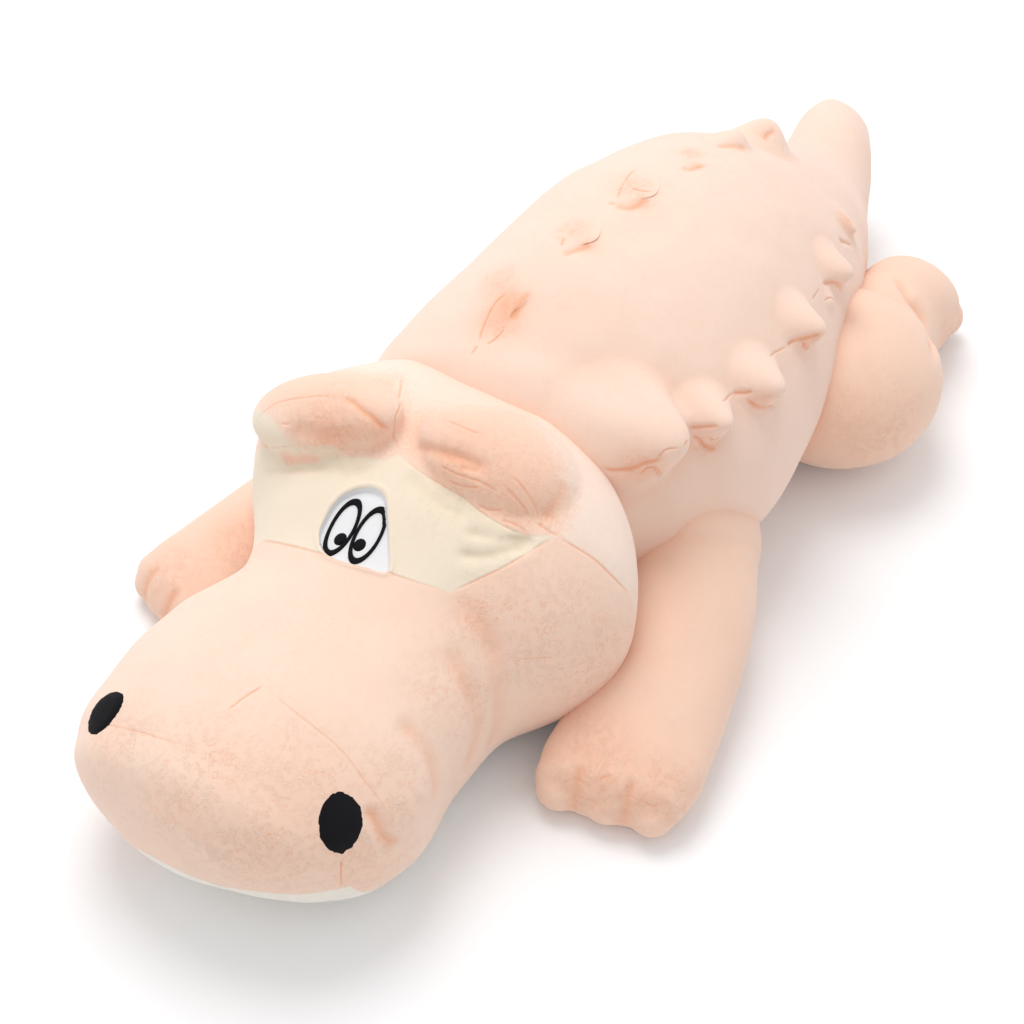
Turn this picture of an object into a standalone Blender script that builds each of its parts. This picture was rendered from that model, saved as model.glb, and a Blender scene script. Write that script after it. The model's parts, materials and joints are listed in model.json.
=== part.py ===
"""Lying plush crocodile: stuffed body and tail, head, four legs and sewn-on trims.

The nose points along -Y and the floor is z = 0. Each stuffed form is drawn as a loft
through its own stations, then made into a pile cloth cover and the stuffing inside it.
"""
import math

import bmesh
import bpy
import numpy as np
from mathutils import Matrix, Vector

for old_object in list(bpy.data.objects):
    bpy.data.objects.remove(old_object, do_unlink=True)

# Cloth, seams and clearances
CLOTH = 0.004
SEAM_GAP = 0.0003
SEAT_GAP = 0.0006
TURNING_GAP = 0.0004
FLOOR_CUT = 0.0005
OVERRUN = 0.020

# Body and tail
BODY_LENGTH = 0.603
BODY_WIDTH = 0.328
BODY_HEIGHT = 0.250
NECK_PLACE = Vector((0.012, -0.115, 0.113))
NECK_RADIUS = 0.078
NECK_CLEARANCE = 0.024

# Head
HEAD_LENGTH = 0.372
HEAD_WIDTH = 0.340
HEAD_HEIGHT = 0.216
HEAD_YAW = math.radians(13.6)
HEAD_PIVOT = Vector((0.0, -0.120, 0.0))
HEAD_REAR = -0.127
HEAD_NOSE = HEAD_REAR - HEAD_LENGTH
HEAD_TURN = (math.radians(-4.0), math.radians(8.0))
HEAD_NOD = (0.0, math.radians(9.0))

# Face. Setbacks run forward from the back of the head, or back from the nose.
FACE_SHIFT = -0.008
BROW_LENGTH = 0.134
BROW_LEFT_DEPTH = 0.096
BROW_LEFT_HEIGHT = 0.076
BROW_LEFT_RISE = 0.021
BROW_RIGHT_DEPTH = 0.080
BROW_RIGHT_HEIGHT = 0.066
BROW_RIGHT_RISE = 0.010
BROW_SPACING = 0.146
BROW_SETBACK = 0.035
BROW_LEFT_SLOPE = math.radians(16.0)
BROW_RIGHT_SLOPE = math.radians(26.0)
NOSTRIL_SHIFT = -0.002
NOSTRIL_SPACING = 0.203
NOSTRIL_SETBACK = 0.060
NOSTRIL_LENGTH = 0.038
NOSTRIL_WIDTH = 0.030
NOSTRIL_TURN = math.radians(10.0)
PATCH_HEIGHT = 0.0015
EYE_PANEL_SETBACK = 0.023
EYE_PANEL_LENGTH = 0.114
EYE_PANEL_WIDTH = 0.250
EYE_WINDOW_SETBACK = 0.105
EYE_WINDOW_LENGTH = 0.058
EYE_WINDOW_WIDTH = 0.046
EYE_FELT = 0.0018
EYE_RECESS = 0.0021
EYE_STITCH = 0.0010
EYE_WIDTH = 0.019
EYE_HEIGHT = 0.034
EYE_LINE = 0.0030
EYE_SPACING = 0.0215
PUPIL_WIDTH = 0.0095
CHIN_INSET = 0.020
CHIN_TOP = 0.045

# Spines along the back
SPINE_BASE = 0.044
SPINE_HEIGHT = 0.026
SPINE_ROOT = 0.016
FIRST_SPINE_BASE = 0.056
FIRST_SPINE_HEIGHT = 0.040
SPINE_SPREADS = {"left": math.radians(33.0), "right": math.radians(-37.0)}
SPINE_LEANS = {"left": math.radians(12.0), "right": math.radians(48.0)}

# Counts of edges round and rings along the lofts
BODY_SIDES = 24
BODY_RINGS = 14
HEAD_SIDES = 24
HEAD_RINGS = 15
LEG_SIDES = 12
LEG_RINGS = 7
ROOT_SIDES = 16
ROOT_RINGS = 6
ROOT_FULLNESS_SHARE = 0.8
SPINE_SIDES = 9
NECK_SIDES = 22
NECK_RINGS = 14
SWING_STEPS = 3
BELLY_SIDES = 28
BROW_SIDES = 20
BROW_RINGS = 12
WINDOW_SIDES = 20
NOSTRIL_SIDES = 16
MOUTH_SIDES = 12
STUFFING_STEPS = 2


def material(name, colour, roughness):
    """A plain cloth or thread finish in a linear colour."""
    made = bpy.data.materials.new(name)
    made.use_nodes = True
    shader = made.node_tree.nodes["Principled BSDF"]
    shader.inputs["Base Color"].default_value = (*colour, 1.0)
    shader.inputs["Roughness"].default_value = roughness
    shader.inputs["Metallic"].default_value = 0.0
    return made


PEACH_COLOUR = (0.88, 0.62, 0.49)
CREAM_COLOUR = (0.90, 0.84, 0.66)
CHIN_COLOUR = (0.92, 0.88, 0.80)
WHITE_COLOUR = (0.90, 0.90, 0.88)
BLACK_COLOUR = (0.012, 0.012, 0.014)
STUFFING_COLOUR = (0.86, 0.86, 0.84)


def row_at(table, place):
    """The row of a station table at one place along it, read on a smooth curve."""
    rows = np.array(table, dtype=float)
    slopes = np.gradient(rows, rows[:, 0], axis=0)
    here = min(int(np.searchsorted(rows[:, 0], place, side="right")) - 1, len(rows) - 2)
    step = rows[here + 1, 0] - rows[here, 0]
    t = (place - rows[here, 0]) / step
    near = (1 + 2 * t) * (1 - t) ** 2 * rows[here] + t * (1 - t) ** 2 * step * slopes[here]
    far = t * t * (3 - 2 * t) * rows[here + 1] + t * t * (t - 1) * step * slopes[here + 1]
    return near + far


def through(table, count):
    """Rows of a station table, resampled on its smooth curve and denser at both ends."""
    spread = 0.5 - 0.5 * np.cos(np.linspace(0.0, math.pi, count))
    even = np.linspace(0.0, 1.0, count)
    first, last = table[0][0], table[-1][0]
    places = first + (last - first) * (spread + even) / 2
    return [row_at(table, place) for place in places]


def section(half_width, up, down, top_power, low_power, sides):
    """One cross-section round its centre, as (sideways, upward) pairs."""
    points = []
    for index in range(sides):
        angle = 2.0 * math.pi * (index + 0.5) / sides
        across, rise = math.cos(angle), math.sin(angle)
        power = top_power if rise > 0.0 else low_power
        reach = up if rise > 0.0 else down
        sideways = math.copysign(abs(across) ** (2.0 / power), across) * half_width
        upward = math.copysign(abs(rise) ** (2.0 / power), rise) * reach
        points.append((sideways, upward))
    return points


def closed_loft(name, rings, first_end, last_end):
    """A closed skin over rings of equal count, each end drawn to a point."""
    shape = bmesh.new()
    loops = [[shape.verts.new(point) for point in ring] for ring in rings]
    sides = len(loops[0])
    for near, far in zip(loops, loops[1:]):
        for index in range(sides):
            following = (index + 1) % sides
            shape.faces.new((near[index], near[following], far[following]))
            shape.faces.new((near[index], far[following], far[index]))
    for ring, place in ((loops[0], first_end), (loops[-1], last_end)):
        tip = shape.verts.new(place)
        for index in range(sides):
            shape.faces.new((ring[index], ring[(index + 1) % sides], tip))
    bmesh.ops.recalc_face_normals(shape, faces=shape.faces)
    return from_bmesh(name, shape)


def from_bmesh(name, shape):
    mesh = bpy.data.meshes.new(name)
    shape.to_mesh(mesh)
    shape.free()
    made = bpy.data.objects.new(name, mesh)
    bpy.context.scene.collection.objects.link(made)
    return made


def copied(piece, name):
    made = bpy.data.objects.new(name, piece.data.copy())
    bpy.context.scene.collection.objects.link(made)
    return made


def combine(piece, tool, operation):
    """Join, cut or keep what the tool covers, and write the result into the piece."""
    step = piece.modifiers.new("shape", "BOOLEAN")
    step.operation = operation
    step.solver = "EXACT"
    step.object = tool
    graph = bpy.context.evaluated_depsgraph_get()
    mesh = bpy.data.meshes.new_from_object(piece.evaluated_get(graph))
    piece.modifiers.clear()
    previous = piece.data
    piece.data = mesh
    bpy.data.meshes.remove(previous)
    return piece


def cut(piece, *tools):
    for tool in tools:
        combine(piece, tool, "DIFFERENCE")
    return piece


def keep(piece, tool):
    return combine(piece, tool, "INTERSECT")


def remove(*tools):
    for tool in tools:
        bpy.data.objects.remove(tool, do_unlink=True)


def turned(piece, centre, axis, angle, name):
    """A copy of a piece, turned about an axis through a centre."""
    made = copied(piece, name)
    spin = Matrix.Translation(centre) @ Matrix.Rotation(angle, 4, axis)
    made.data.transform(spin @ Matrix.Translation(-centre))
    return made


def prism(name, outline, low, high, placing):
    """An outline in plan drawn up between two heights, in a placed frame."""
    shape = bmesh.new()
    base = [shape.verts.new(placing @ Vector((x, y, low))) for x, y in outline]
    top = [shape.verts.new(placing @ Vector((x, y, high))) for x, y in outline]
    shape.faces.new(base)
    shape.faces.new(top)
    for index in range(len(base)):
        following = (index + 1) % len(base)
        shape.faces.new((base[index], base[following], top[following], top[index]))
    bmesh.ops.recalc_face_normals(shape, faces=shape.faces)
    return from_bmesh(name, shape)


def oval(centre_x, centre_y, half_x, half_y, power, tilt, count):
    """A rounded outline in plan, from an ellipse to nearly a rectangle."""
    points = []
    for index in range(count):
        angle = 2.0 * math.pi * (index + 0.5) / count
        across, along = math.cos(angle), math.sin(angle)
        x = math.copysign(abs(across) ** (2.0 / power), across) * half_x
        y = math.copysign(abs(along) ** (2.0 / power), along) * half_y
        turned_x = x * math.cos(tilt) - y * math.sin(tilt)
        turned_y = x * math.sin(tilt) + y * math.cos(tilt)
        points.append((centre_x + turned_x, centre_y + turned_y))
    return points


# Body stations from the neck face to the tail tip: place along, sideways shift, height of
# the lowest point, half width, rise and drop from the middle, then roll in degrees and
# the lean of the section, which follows the slanted back of the head.
NECK_FACE = NECK_PLACE.y + NECK_CLEARANCE / 2
NECK_LEAN_SHARE = 0.36
END_SHARE = 0.3
BACK_ROUND_SHARE = 2.0
BELLY_ROUND_SHARE = 2.3
BODY_STATION_SHARES = (
    (0.000, 0.050, 0.085, 0.280, 0.370, 0.370, 6.0, NECK_LEAN_SHARE),
    (0.022, 0.062, 0.040, 0.365, 0.440, 0.435, 9.0, NECK_LEAN_SHARE),
    (0.085, 0.090, 0.002, 0.440, 0.480, 0.480, 15.0, 0.26),
    (0.220, 0.128, -0.002, 0.490, 0.507, 0.498, 22.0, 0.06),
    (0.420, 0.072, -0.002, 0.468, 0.506, 0.500, 27.0, 0.0),
    (0.605, 0.006, -0.002, 0.384, 0.444, 0.450, 25.0, 0.0),
    (0.770, -0.040, -0.002, 0.240, 0.320, 0.330, 14.0, 0.0),
    (0.880, -0.106, 0.060, 0.158, 0.222, 0.215, 6.0, 0.0),
    (0.955, -0.155, 0.195, 0.118, 0.160, 0.160, 2.0, 0.0),
    (0.995, -0.180, 0.300, 0.075, 0.096, 0.090, 0.0, 0.0),
)


def neck_slant(lean, x, height):
    """How far a leaning section is drawn back here, to lie along the back of the head."""
    across = (x - NECK_PLACE.x) * math.tan(HEAD_YAW) / NECK_LEAN_SHARE
    return lean * (height - NECK_PLACE.z + across)


def rolled(pairs, roll):
    """Section pairs after the section is rolled over to one side, by degrees."""
    angle = math.radians(-roll)
    return [(across * math.cos(angle) - rise * math.sin(angle),
             across * math.sin(angle) + rise * math.cos(angle)) for across, rise in pairs]


def body_section(row, spread):
    """One rolled body section as (sideways, upward) pairs, and the height of its middle."""
    along, sideways, lift, half_width, up, down, roll, lean = row
    pairs = rolled(section(half_width * BODY_WIDTH + spread, up * BODY_HEIGHT + spread,
                           down * BODY_HEIGHT + spread, BACK_ROUND_SHARE, BELLY_ROUND_SHARE, BODY_SIDES),
                   roll)
    lowest = min(rise for across, rise in pairs)
    return pairs, lift * BODY_HEIGHT - lowest - spread


def body_rings(spread, count):
    """The body's cross-sections, swollen or drawn in by the spread."""
    rings = []
    for row in through(BODY_STATION_SHARES, count):
        along, sideways, lift, half_width, up, down, roll, lean = row
        pairs, middle = body_section(row, spread)
        place = NECK_FACE - spread + along * (BODY_LENGTH + spread + spread)
        ring = []
        for across, rise in pairs:
            x = sideways * BODY_WIDTH + across
            height = middle + rise
            ring.append(Vector((x, place + neck_slant(lean, x, height), height)))
        rings.append(ring)
    return rings


def middle_of(ring):
    return sum(ring, Vector()) / len(ring)


def rounded_end(rings):
    """The point that closes a tapering form, a little beyond its last ring."""
    return middle_of(rings[-1]) + (middle_of(rings[-1]) - middle_of(rings[-2])) * END_SHARE


def body_form(name, spread, stride=1):
    rings = [ring[::stride] for ring in body_rings(spread, BODY_RINGS)]
    return closed_loft(name, rings, middle_of(rings[0]), rounded_end(rings))


# Head stations from the back to the nose: place along, sideways shift, height of the
# lowest point, half width, rise and drop from the middle, roundness above and below,
# and the lean.
HEAD_STATION_SHARES = (
    (0.000, 0.020, 0.150, 0.240, 0.350, 0.350, 2.1, 2.1, 0.36),
    (0.020, 0.030, 0.080, 0.360, 0.440, 0.430, 2.2, 2.1, 0.36),
    (0.065, 0.042, 0.030, 0.460, 0.495, 0.480, 2.4, 2.2, 0.34),
    (0.140, 0.045, 0.010, 0.492, 0.500, 0.470, 2.4, 2.3, 0.22),
    (0.230, 0.035, 0.004, 0.455, 0.480, 0.440, 2.3, 2.6, 0.12),
    (0.370, 0.012, -0.002, 0.395, 0.420, 0.390, 2.2, 2.9, 0.02),
    (0.540, 0.000, -0.002, 0.376, 0.385, 0.385, 2.3, 3.0, 0.0),
    (0.740, 0.000, -0.002, 0.394, 0.378, 0.385, 2.4, 3.0, 0.0),
    (0.870, 0.000, 0.072, 0.352, 0.332, 0.332, 2.3, 2.8, 0.0),
    (0.950, 0.000, 0.170, 0.262, 0.268, 0.258, 2.2, 2.4, 0.0),
    (0.992, 0.000, 0.260, 0.135, 0.150, 0.150, 2.0, 2.0, 0.0),
)
HEAD_PLACING = (Matrix.Translation(HEAD_PIVOT) @ Matrix.Rotation(HEAD_YAW, 4, "Z")
                @ Matrix.Translation(-HEAD_PIVOT))


def head_rings(spread, count):
    """The head's cross-sections in the world, swollen or drawn in by the spread."""
    rings = []
    for row in through(HEAD_STATION_SHARES, count):
        along, sideways, lift, half_width, up, down, top_power, low_power, lean = row
        place = HEAD_REAR + spread - along * (HEAD_LENGTH + spread + spread)
        pairs = section(half_width * HEAD_WIDTH + spread, up * HEAD_HEIGHT + spread,
                        down * HEAD_HEIGHT + spread, top_power, low_power, HEAD_SIDES)
        middle = lift * HEAD_HEIGHT + down * HEAD_HEIGHT
        ring = []
        for across, rise in pairs:
            height = middle + rise
            slant = lean * (height - NECK_PLACE.z)
            ring.append(HEAD_PLACING @ Vector((sideways * HEAD_WIDTH + across, place + slant,
                                               height)))
        rings.append(ring)
    return rings


def head_form(name, spread, stride=1):
    rings = [ring[::stride] for ring in head_rings(spread, HEAD_RINGS)]
    return closed_loft(name, rings, middle_of(rings[0]), rounded_end(rings))


def neck_ball(name, radius, turn):
    shape = bmesh.new()
    bmesh.ops.create_uvsphere(shape, u_segments=NECK_SIDES, v_segments=NECK_RINGS,
                              radius=radius)
    placing = Matrix.Translation(NECK_PLACE) @ Matrix.Rotation(turn, 4, "Z")
    bmesh.ops.transform(shape, matrix=placing, verts=shape.verts)
    return from_bmesh(name, shape)


def neck_socket(name):
    """A faceted ball whose faces, not corners, stand clear of the turning neck."""
    corner = math.hypot(math.pi / NECK_SIDES, math.pi / NECK_RINGS / 2)
    radius = (NECK_RADIUS + TURNING_GAP) / math.cos(corner)
    return neck_ball(name, radius, math.pi / NECK_SIDES)


# Legs. Each has a round root, which turns about an upright axis in the body's side, and a
# limb whose stations run outward from that axis. An axis stands at a share of the body's
# width to the side, and of its length behind the neck.
FRONT_LEFT_LENGTH = 0.243
FRONT_LEFT_WIDTH = 0.122
FRONT_LEFT_HEIGHT = 0.096
FRONT_LEFT_ROOT_RADIUS = 0.059
FRONT_LEFT_ROOT_HEIGHT = 0.114
FRONT_RIGHT_LENGTH = 0.268
FRONT_RIGHT_WIDTH = 0.092
FRONT_RIGHT_HEIGHT = 0.086
FRONT_RIGHT_ROOT_RADIUS = 0.050
FRONT_RIGHT_ROOT_HEIGHT = 0.092
HIND_LEFT_LENGTH = 0.181
HIND_LEFT_WIDTH = 0.102
HIND_LEFT_HEIGHT = 0.118
HIND_LEFT_ROOT_RADIUS = 0.088
HIND_LEFT_ROOT_HEIGHT = 0.146
HIND_RIGHT_LENGTH = 0.168
HIND_RIGHT_WIDTH = 0.090
HIND_RIGHT_HEIGHT = 0.084
HIND_RIGHT_ROOT_RADIUS = 0.079
HIND_RIGHT_ROOT_HEIGHT = 0.120
LEG_PLACE_SHARES = {
    "front_leg_left": (0.488, 0.174), "front_leg_right": (-0.323, 0.088),
    "hind_leg_left": (0.415, 0.562), "hind_leg_right": (-0.317, 0.577),
}
LEG_HEADINGS = {
    "front_leg_left": math.radians(-67.0), "front_leg_right": math.radians(-98.5),
    "hind_leg_left": math.radians(100.0), "hind_leg_right": math.radians(86.0),
}
LEG_SWINGS = {
    "front_leg_left": (0.0, math.radians(18.0)), "front_leg_right": (math.radians(-18.0), 0.0),
    "hind_leg_left": (math.radians(-15.0), math.radians(5.0)),
    "hind_leg_right": (math.radians(-5.0), math.radians(15.0)),
}
LEG_SIZES = {
    "front_leg_left": (FRONT_LEFT_LENGTH, FRONT_LEFT_WIDTH, FRONT_LEFT_HEIGHT,
                       FRONT_LEFT_ROOT_RADIUS, FRONT_LEFT_ROOT_HEIGHT),
    "front_leg_right": (FRONT_RIGHT_LENGTH, FRONT_RIGHT_WIDTH, FRONT_RIGHT_HEIGHT,
                        FRONT_RIGHT_ROOT_RADIUS, FRONT_RIGHT_ROOT_HEIGHT),
    "hind_leg_left": (HIND_LEFT_LENGTH, HIND_LEFT_WIDTH, HIND_LEFT_HEIGHT,
                      HIND_LEFT_ROOT_RADIUS, HIND_LEFT_ROOT_HEIGHT),
    "hind_leg_right": (HIND_RIGHT_LENGTH, HIND_RIGHT_WIDTH, HIND_RIGHT_HEIGHT,
                       HIND_RIGHT_ROOT_RADIUS, HIND_RIGHT_ROOT_HEIGHT),
}
LEGS = {}
for leg_name, sizes in LEG_SIZES.items():
    side_share, along_share = LEG_PLACE_SHARES[leg_name]
    LEGS[leg_name] = dict(zip(("length", "width", "height", "root_radius", "root_height"), sizes))
    LEGS[leg_name]["axis"] = Vector((side_share * BODY_WIDTH,
                                     NECK_FACE + along_share * BODY_LENGTH, 0.0))
    LEGS[leg_name]["heading"] = LEG_HEADINGS[leg_name]
    LEGS[leg_name]["swing"] = LEG_SWINGS[leg_name]
# Limb stations: place along, half width, height of the section, and lift off the floor
FRONT_LIMB_SHARES = (
    (0.00, 0.450, 0.95, 0.02),
    (0.25, 0.480, 0.97, 0.00),
    (0.50, 0.480, 0.90, 0.00),
    (0.75, 0.500, 0.74, 0.00),
    (0.90, 0.480, 0.60, 0.00),
    (0.97, 0.390, 0.44, 0.04),
    (1.00, 0.200, 0.20, 0.12),
)
HIND_LIMB_SHARES = (
    (0.00, 0.500, 1.05, 0.02),
    (0.40, 0.520, 1.00, 0.00),
    (0.60, 0.440, 0.86, 0.00),
    (0.80, 0.420, 0.74, 0.00),
    (0.92, 0.380, 0.62, 0.00),
    (0.98, 0.280, 0.40, 0.06),
    (1.00, 0.150, 0.20, 0.14),
)


def limb(name, leg, shares, spread, stride=1):
    """The tapering limb, from the root's axis out to the toes."""
    out = Vector((math.cos(leg["heading"]), math.sin(leg["heading"]), 0.0))
    side = Vector((-out.y, out.x, 0.0))
    rings = []
    for along, half_width, tall, lift in through(shares, LEG_RINGS):
        half_height = tall * leg["height"] / 2
        reach = along * (leg["length"] + spread + spread) - spread
        place = leg["axis"] + out * reach
        middle = lift * leg["height"] + half_height - FLOOR_CUT
        pairs = section(half_width * leg["width"] + spread, half_height + spread,
                        half_height + spread, 2.1, 2.5, LEG_SIDES)
        ring = []
        for across, rise in pairs:
            ring.append(place + side * across + Vector((0.0, 0.0, middle + rise)))
        rings.append(ring[::stride])
    return closed_loft(name, rings, middle_of(rings[0]), middle_of(rings[-1]))


def leg_root(name, leg, spread, stride=1, widen=1.0, half_step=0.0):
    """The round root, a turned form about the leg's upright axis."""
    half_height = leg["root_height"] / 2
    rings = []
    for step in range(1, ROOT_RINGS + 1):
        angle = math.pi * step / (ROOT_RINGS + 1)
        radius = (leg["root_radius"] + spread) * math.sin(angle) ** ROOT_FULLNESS_SHARE * widen
        height = half_height - FLOOR_CUT - (half_height + spread) * math.cos(angle)
        ring = []
        for index in range(ROOT_SIDES):
            turn = 2.0 * math.pi * (index + half_step) / ROOT_SIDES
            ring.append(leg["axis"] + Vector((radius * math.cos(turn),
                                              radius * math.sin(turn), height)))
        rings.append(ring[::stride])
    low = leg["axis"] + Vector((0.0, 0.0, -FLOOR_CUT - spread))
    high = leg["axis"] + Vector((0.0, 0.0, leg["root_height"] - FLOOR_CUT + spread))
    return closed_loft(name, rings, low, high)


def leg_space(name, leg, shares):
    """The space that a leg sweeps as it swings: its root's socket and the limb's sweep."""
    still = limb("still_limb", leg, shares, TURNING_GAP)
    shape = bmesh.new()
    low, high = leg["swing"]
    for step in range(SWING_STEPS + 1):
        angle = low + (high - low) * step / SWING_STEPS
        moved = turned(still, leg["axis"], "Z", angle, "moved_limb")
        for corner in moved.data.vertices:
            shape.verts.new(corner.co)
        remove(moved)
    bmesh.ops.convex_hull(shape, input=list(shape.verts))
    inside = [corner for corner in shape.verts if not corner.link_faces]
    bmesh.ops.delete(shape, geom=inside, context="VERTS")
    bmesh.ops.recalc_face_normals(shape, faces=shape.faces)
    sweep = from_bmesh("sweep", shape)
    widen = 1.0 / math.cos(math.pi / ROOT_SIDES)
    made = leg_root(name, leg, TURNING_GAP, widen=widen, half_step=0.5)
    combine(made, sweep, "UNION")
    remove(still, sweep)
    return made


def leg_form(name, leg, shares, spread, stride=1):
    made = leg_root(name, leg, spread, stride)
    end = limb("limb", leg, shares, spread, stride)
    combine(made, end, "UNION")
    remove(end)
    return made


def finish(piece, parent, finish_material):
    """Give a piece its finish, smooth shading and the joint empty that carries it."""
    piece.data.materials.clear()
    piece.data.materials.append(finish_material)
    piece.data.shade_smooth()
    piece.data.set_sharp_from_angle(angle=math.radians(50.0))
    place = parent.matrix_world.translation
    piece.data.transform(Matrix.Translation(-place))
    piece.parent = parent
    return piece


def joint_empty(name, place, parent):
    made = bpy.data.objects.new(name, None)
    made.empty_display_size = NECK_RADIUS
    bpy.context.scene.collection.objects.link(made)
    made.parent = parent
    made.location = place if parent is None else place - parent.matrix_world.translation
    bpy.context.view_layer.update()
    return made


peach = material("peach_pile", PEACH_COLOUR, 0.95)
cream = material("cream_pile", CREAM_COLOUR, 0.95)
chin_white = material("pale_pile", CHIN_COLOUR, 0.95)
white_felt = material("white_felt", WHITE_COLOUR, 0.9)
black_thread = material("black_thread", BLACK_COLOUR, 0.45)
fibre = material("fibre_stuffing", STUFFING_COLOUR, 1.0)

body_carrier = joint_empty("body_carrier", Vector(), None)
turn_axis = joint_empty("head_turn_axis", NECK_PLACE, body_carrier)
nod_axis = joint_empty("head_nod_axis", NECK_PLACE, turn_axis)
leg_axes = {}
for leg_name, leg in LEGS.items():
    leg_axes[leg_name] = joint_empty(leg_name + "_axis", leg["axis"], body_carrier)

floor_tool = prism("floor_tool", ((-1.0, -1.0), (1.0, -1.0), (1.0, 1.0), (-1.0, 1.0)),
                   -1.0, 0.0, Matrix.Scale(BODY_LENGTH, 4))

# Legs. A mouth in each root opens the cover towards the body, where it is sewn on.
MOUTH_HEIGHT_SHARES = (0.35, 0.65)
body_space = []
for leg_name, leg in LEGS.items():
    shares = FRONT_LIMB_SHARES if leg_name.startswith("front") else HIND_LIMB_SHARES
    outer = leg_form(leg_name + "_cover", leg, shares, 0.0)
    lining = leg_form("lining", leg, shares, -CLOTH)
    filling = leg_form(leg_name + "_stuffing", leg, shares, -CLOTH - SEAT_GAP, STUFFING_STEPS)
    body_space.append(leg_space("leg_space", leg, shares))
    inward = -leg["root_radius"] if leg["axis"].x > 0.0 else leg["root_radius"]
    mouth_outline = oval(leg["axis"].x + inward, leg["axis"].y, leg["root_radius"] / 2,
                         leg["root_radius"] / 2, 2.0, 0.0, MOUTH_SIDES)
    mouth_low, mouth_high = [leg["root_height"] * share for share in MOUTH_HEIGHT_SHARES]
    mouth = prism("mouth", mouth_outline, mouth_low, mouth_high, Matrix.Identity(4))
    cut(outer, lining, mouth, floor_tool)
    cut(filling, floor_tool)
    remove(lining, mouth)
    leg["cover"] = outer
    leg["stuffing"] = filling

# The head presses into the front legs beside it, through the whole of its turn
head_swell = head_form("head_swell", TURNING_GAP)
for angle in (HEAD_TURN[0], 0.0, HEAD_TURN[1]):
    turned_head = turned(head_swell, NECK_PLACE, "Z", angle, "turned_head")
    for leg_name in ("front_leg_left", "front_leg_right"):
        cut(LEGS[leg_name]["cover"], turned_head)
        cut(LEGS[leg_name]["stuffing"], turned_head)
    remove(turned_head)
remove(head_swell)
for leg_name, leg in LEGS.items():
    finish(leg["cover"], leg_axes[leg_name], peach)
    finish(leg["stuffing"], leg_axes[leg_name], fibre)

# Body
socket = neck_socket("socket")
body_cover = body_form("body_cover", 0.0)
body_lining = body_form("body_lining", -CLOTH)
body_stuffing = body_form("body_stuffing", -CLOTH - SEAT_GAP, STUFFING_STEPS)
cut(body_cover, floor_tool, body_lining, socket, *body_space)
cut(body_stuffing, socket, *body_space)
remove(body_lining)

BELLY_FRONT_SHARE = 0.06
BELLY_REAR_SHARE = 0.80
BELLY_WIDTH_SHARE = 0.52
BELLY_HEIGHT_SHARE = 0.20


def belly_outline(inset):
    """The belly panel in plan: a long leaf between the legs."""
    front = NECK_FACE + BELLY_FRONT_SHARE * BODY_LENGTH + inset
    rear = NECK_FACE + BELLY_REAR_SHARE * BODY_LENGTH - inset
    half = BELLY_WIDTH_SHARE * BODY_WIDTH / 2 - inset
    points = []
    for index in range(BELLY_SIDES):
        angle = 2.0 * math.pi * (index + 0.5) / BELLY_SIDES
        y = (front + rear) / 2 - (rear - front) / 2 * math.cos(angle)
        row = row_at(BODY_STATION_SHARES, (y - NECK_FACE) / BODY_LENGTH)
        points.append((row[1] * BODY_WIDTH + half * math.sin(angle), y))
    return points


belly_panel = copied(body_cover, "belly_panel")
belly_high = BELLY_HEIGHT_SHARE * BODY_HEIGHT
keep_tool = prism("belly_keep", belly_outline(SEAM_GAP), -OVERRUN, belly_high - SEAM_GAP,
                  Matrix.Identity(4))
cut_tool = prism("belly_cut", belly_outline(0.0), -OVERRUN, belly_high, Matrix.Identity(4))
keep(belly_panel, keep_tool)
cut(body_cover, cut_tool)
remove(keep_tool, cut_tool)

# Spines in two rows beside the ridge, which all droop to the left side
SPINE_PLACE_SHARES = {"left": (0.072, 0.180, 0.295, 0.425, 0.565, 0.700),
                      "right": (0.085, 0.240, 0.365, 0.485, 0.590, 0.690)}
SPINE_SIZE_SHARES = {"left": (1.0, 0.95, 1.0, 1.0, 0.95, 0.80),
                     "right": (1.0, 1.05, 1.05, 0.80, 0.75, 0.95)}
body_swell = body_form("body_swell", SEAT_GAP)
SPINE_PROFILE_SHARES = ((0.0, 1.0), (0.35, 0.95), (0.62, 0.76), (0.84, 0.48), (0.96, 0.24))


def spine(name, place_share, base, height, side_name):
    """A small stuffed cone, sunk into the back and cut to its curve."""
    row = row_at(BODY_STATION_SHARES, place_share)
    along, sideways, lift, half_width, up, down, roll, lean = row
    half, tall = half_width * BODY_WIDTH, up * BODY_HEIGHT
    turn = SPINE_SPREADS[side_name]
    on_back = (math.sin(turn) * half, math.cos(turn) * tall)
    off_back = Vector((math.sin(turn) / half, math.cos(turn) / tall)).normalized()
    (across, rise), (out_x, out_z) = rolled([on_back, off_back], roll)
    middle = body_section(row, 0.0)[1]
    x = sideways * BODY_WIDTH + across
    slant = neck_slant(lean, x, middle + rise)
    foot = Vector((x, NECK_FACE + along * BODY_LENGTH + slant, middle + rise))
    outward = Vector((out_x, 0.0, out_z))
    level = Vector((out_z, 0.0, -out_x))
    lean_over = SPINE_LEANS[side_name]
    outward = (outward * math.cos(lean_over) + level * math.sin(lean_over)).normalized()
    frame_x = outward.cross(Vector((0.0, 1.0, 0.0))).normalized()
    frame_y = outward.cross(frame_x).normalized()
    rings = []
    for tall, wide in SPINE_PROFILE_SHARES:
        centre = foot + outward * (tall * (height + SPINE_ROOT) - SPINE_ROOT)
        ring = []
        for index in range(SPINE_SIDES):
            angle = 2.0 * math.pi * index / SPINE_SIDES
            ring.append(centre + frame_x * math.cos(angle) * wide * base / 2
                        + frame_y * math.sin(angle) * wide * base / 2)
        rings.append(ring)
    tip = foot + outward * height
    made = closed_loft(name, rings, foot - outward * SPINE_ROOT, tip)
    return cut(made, body_swell, *body_space)


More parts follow.
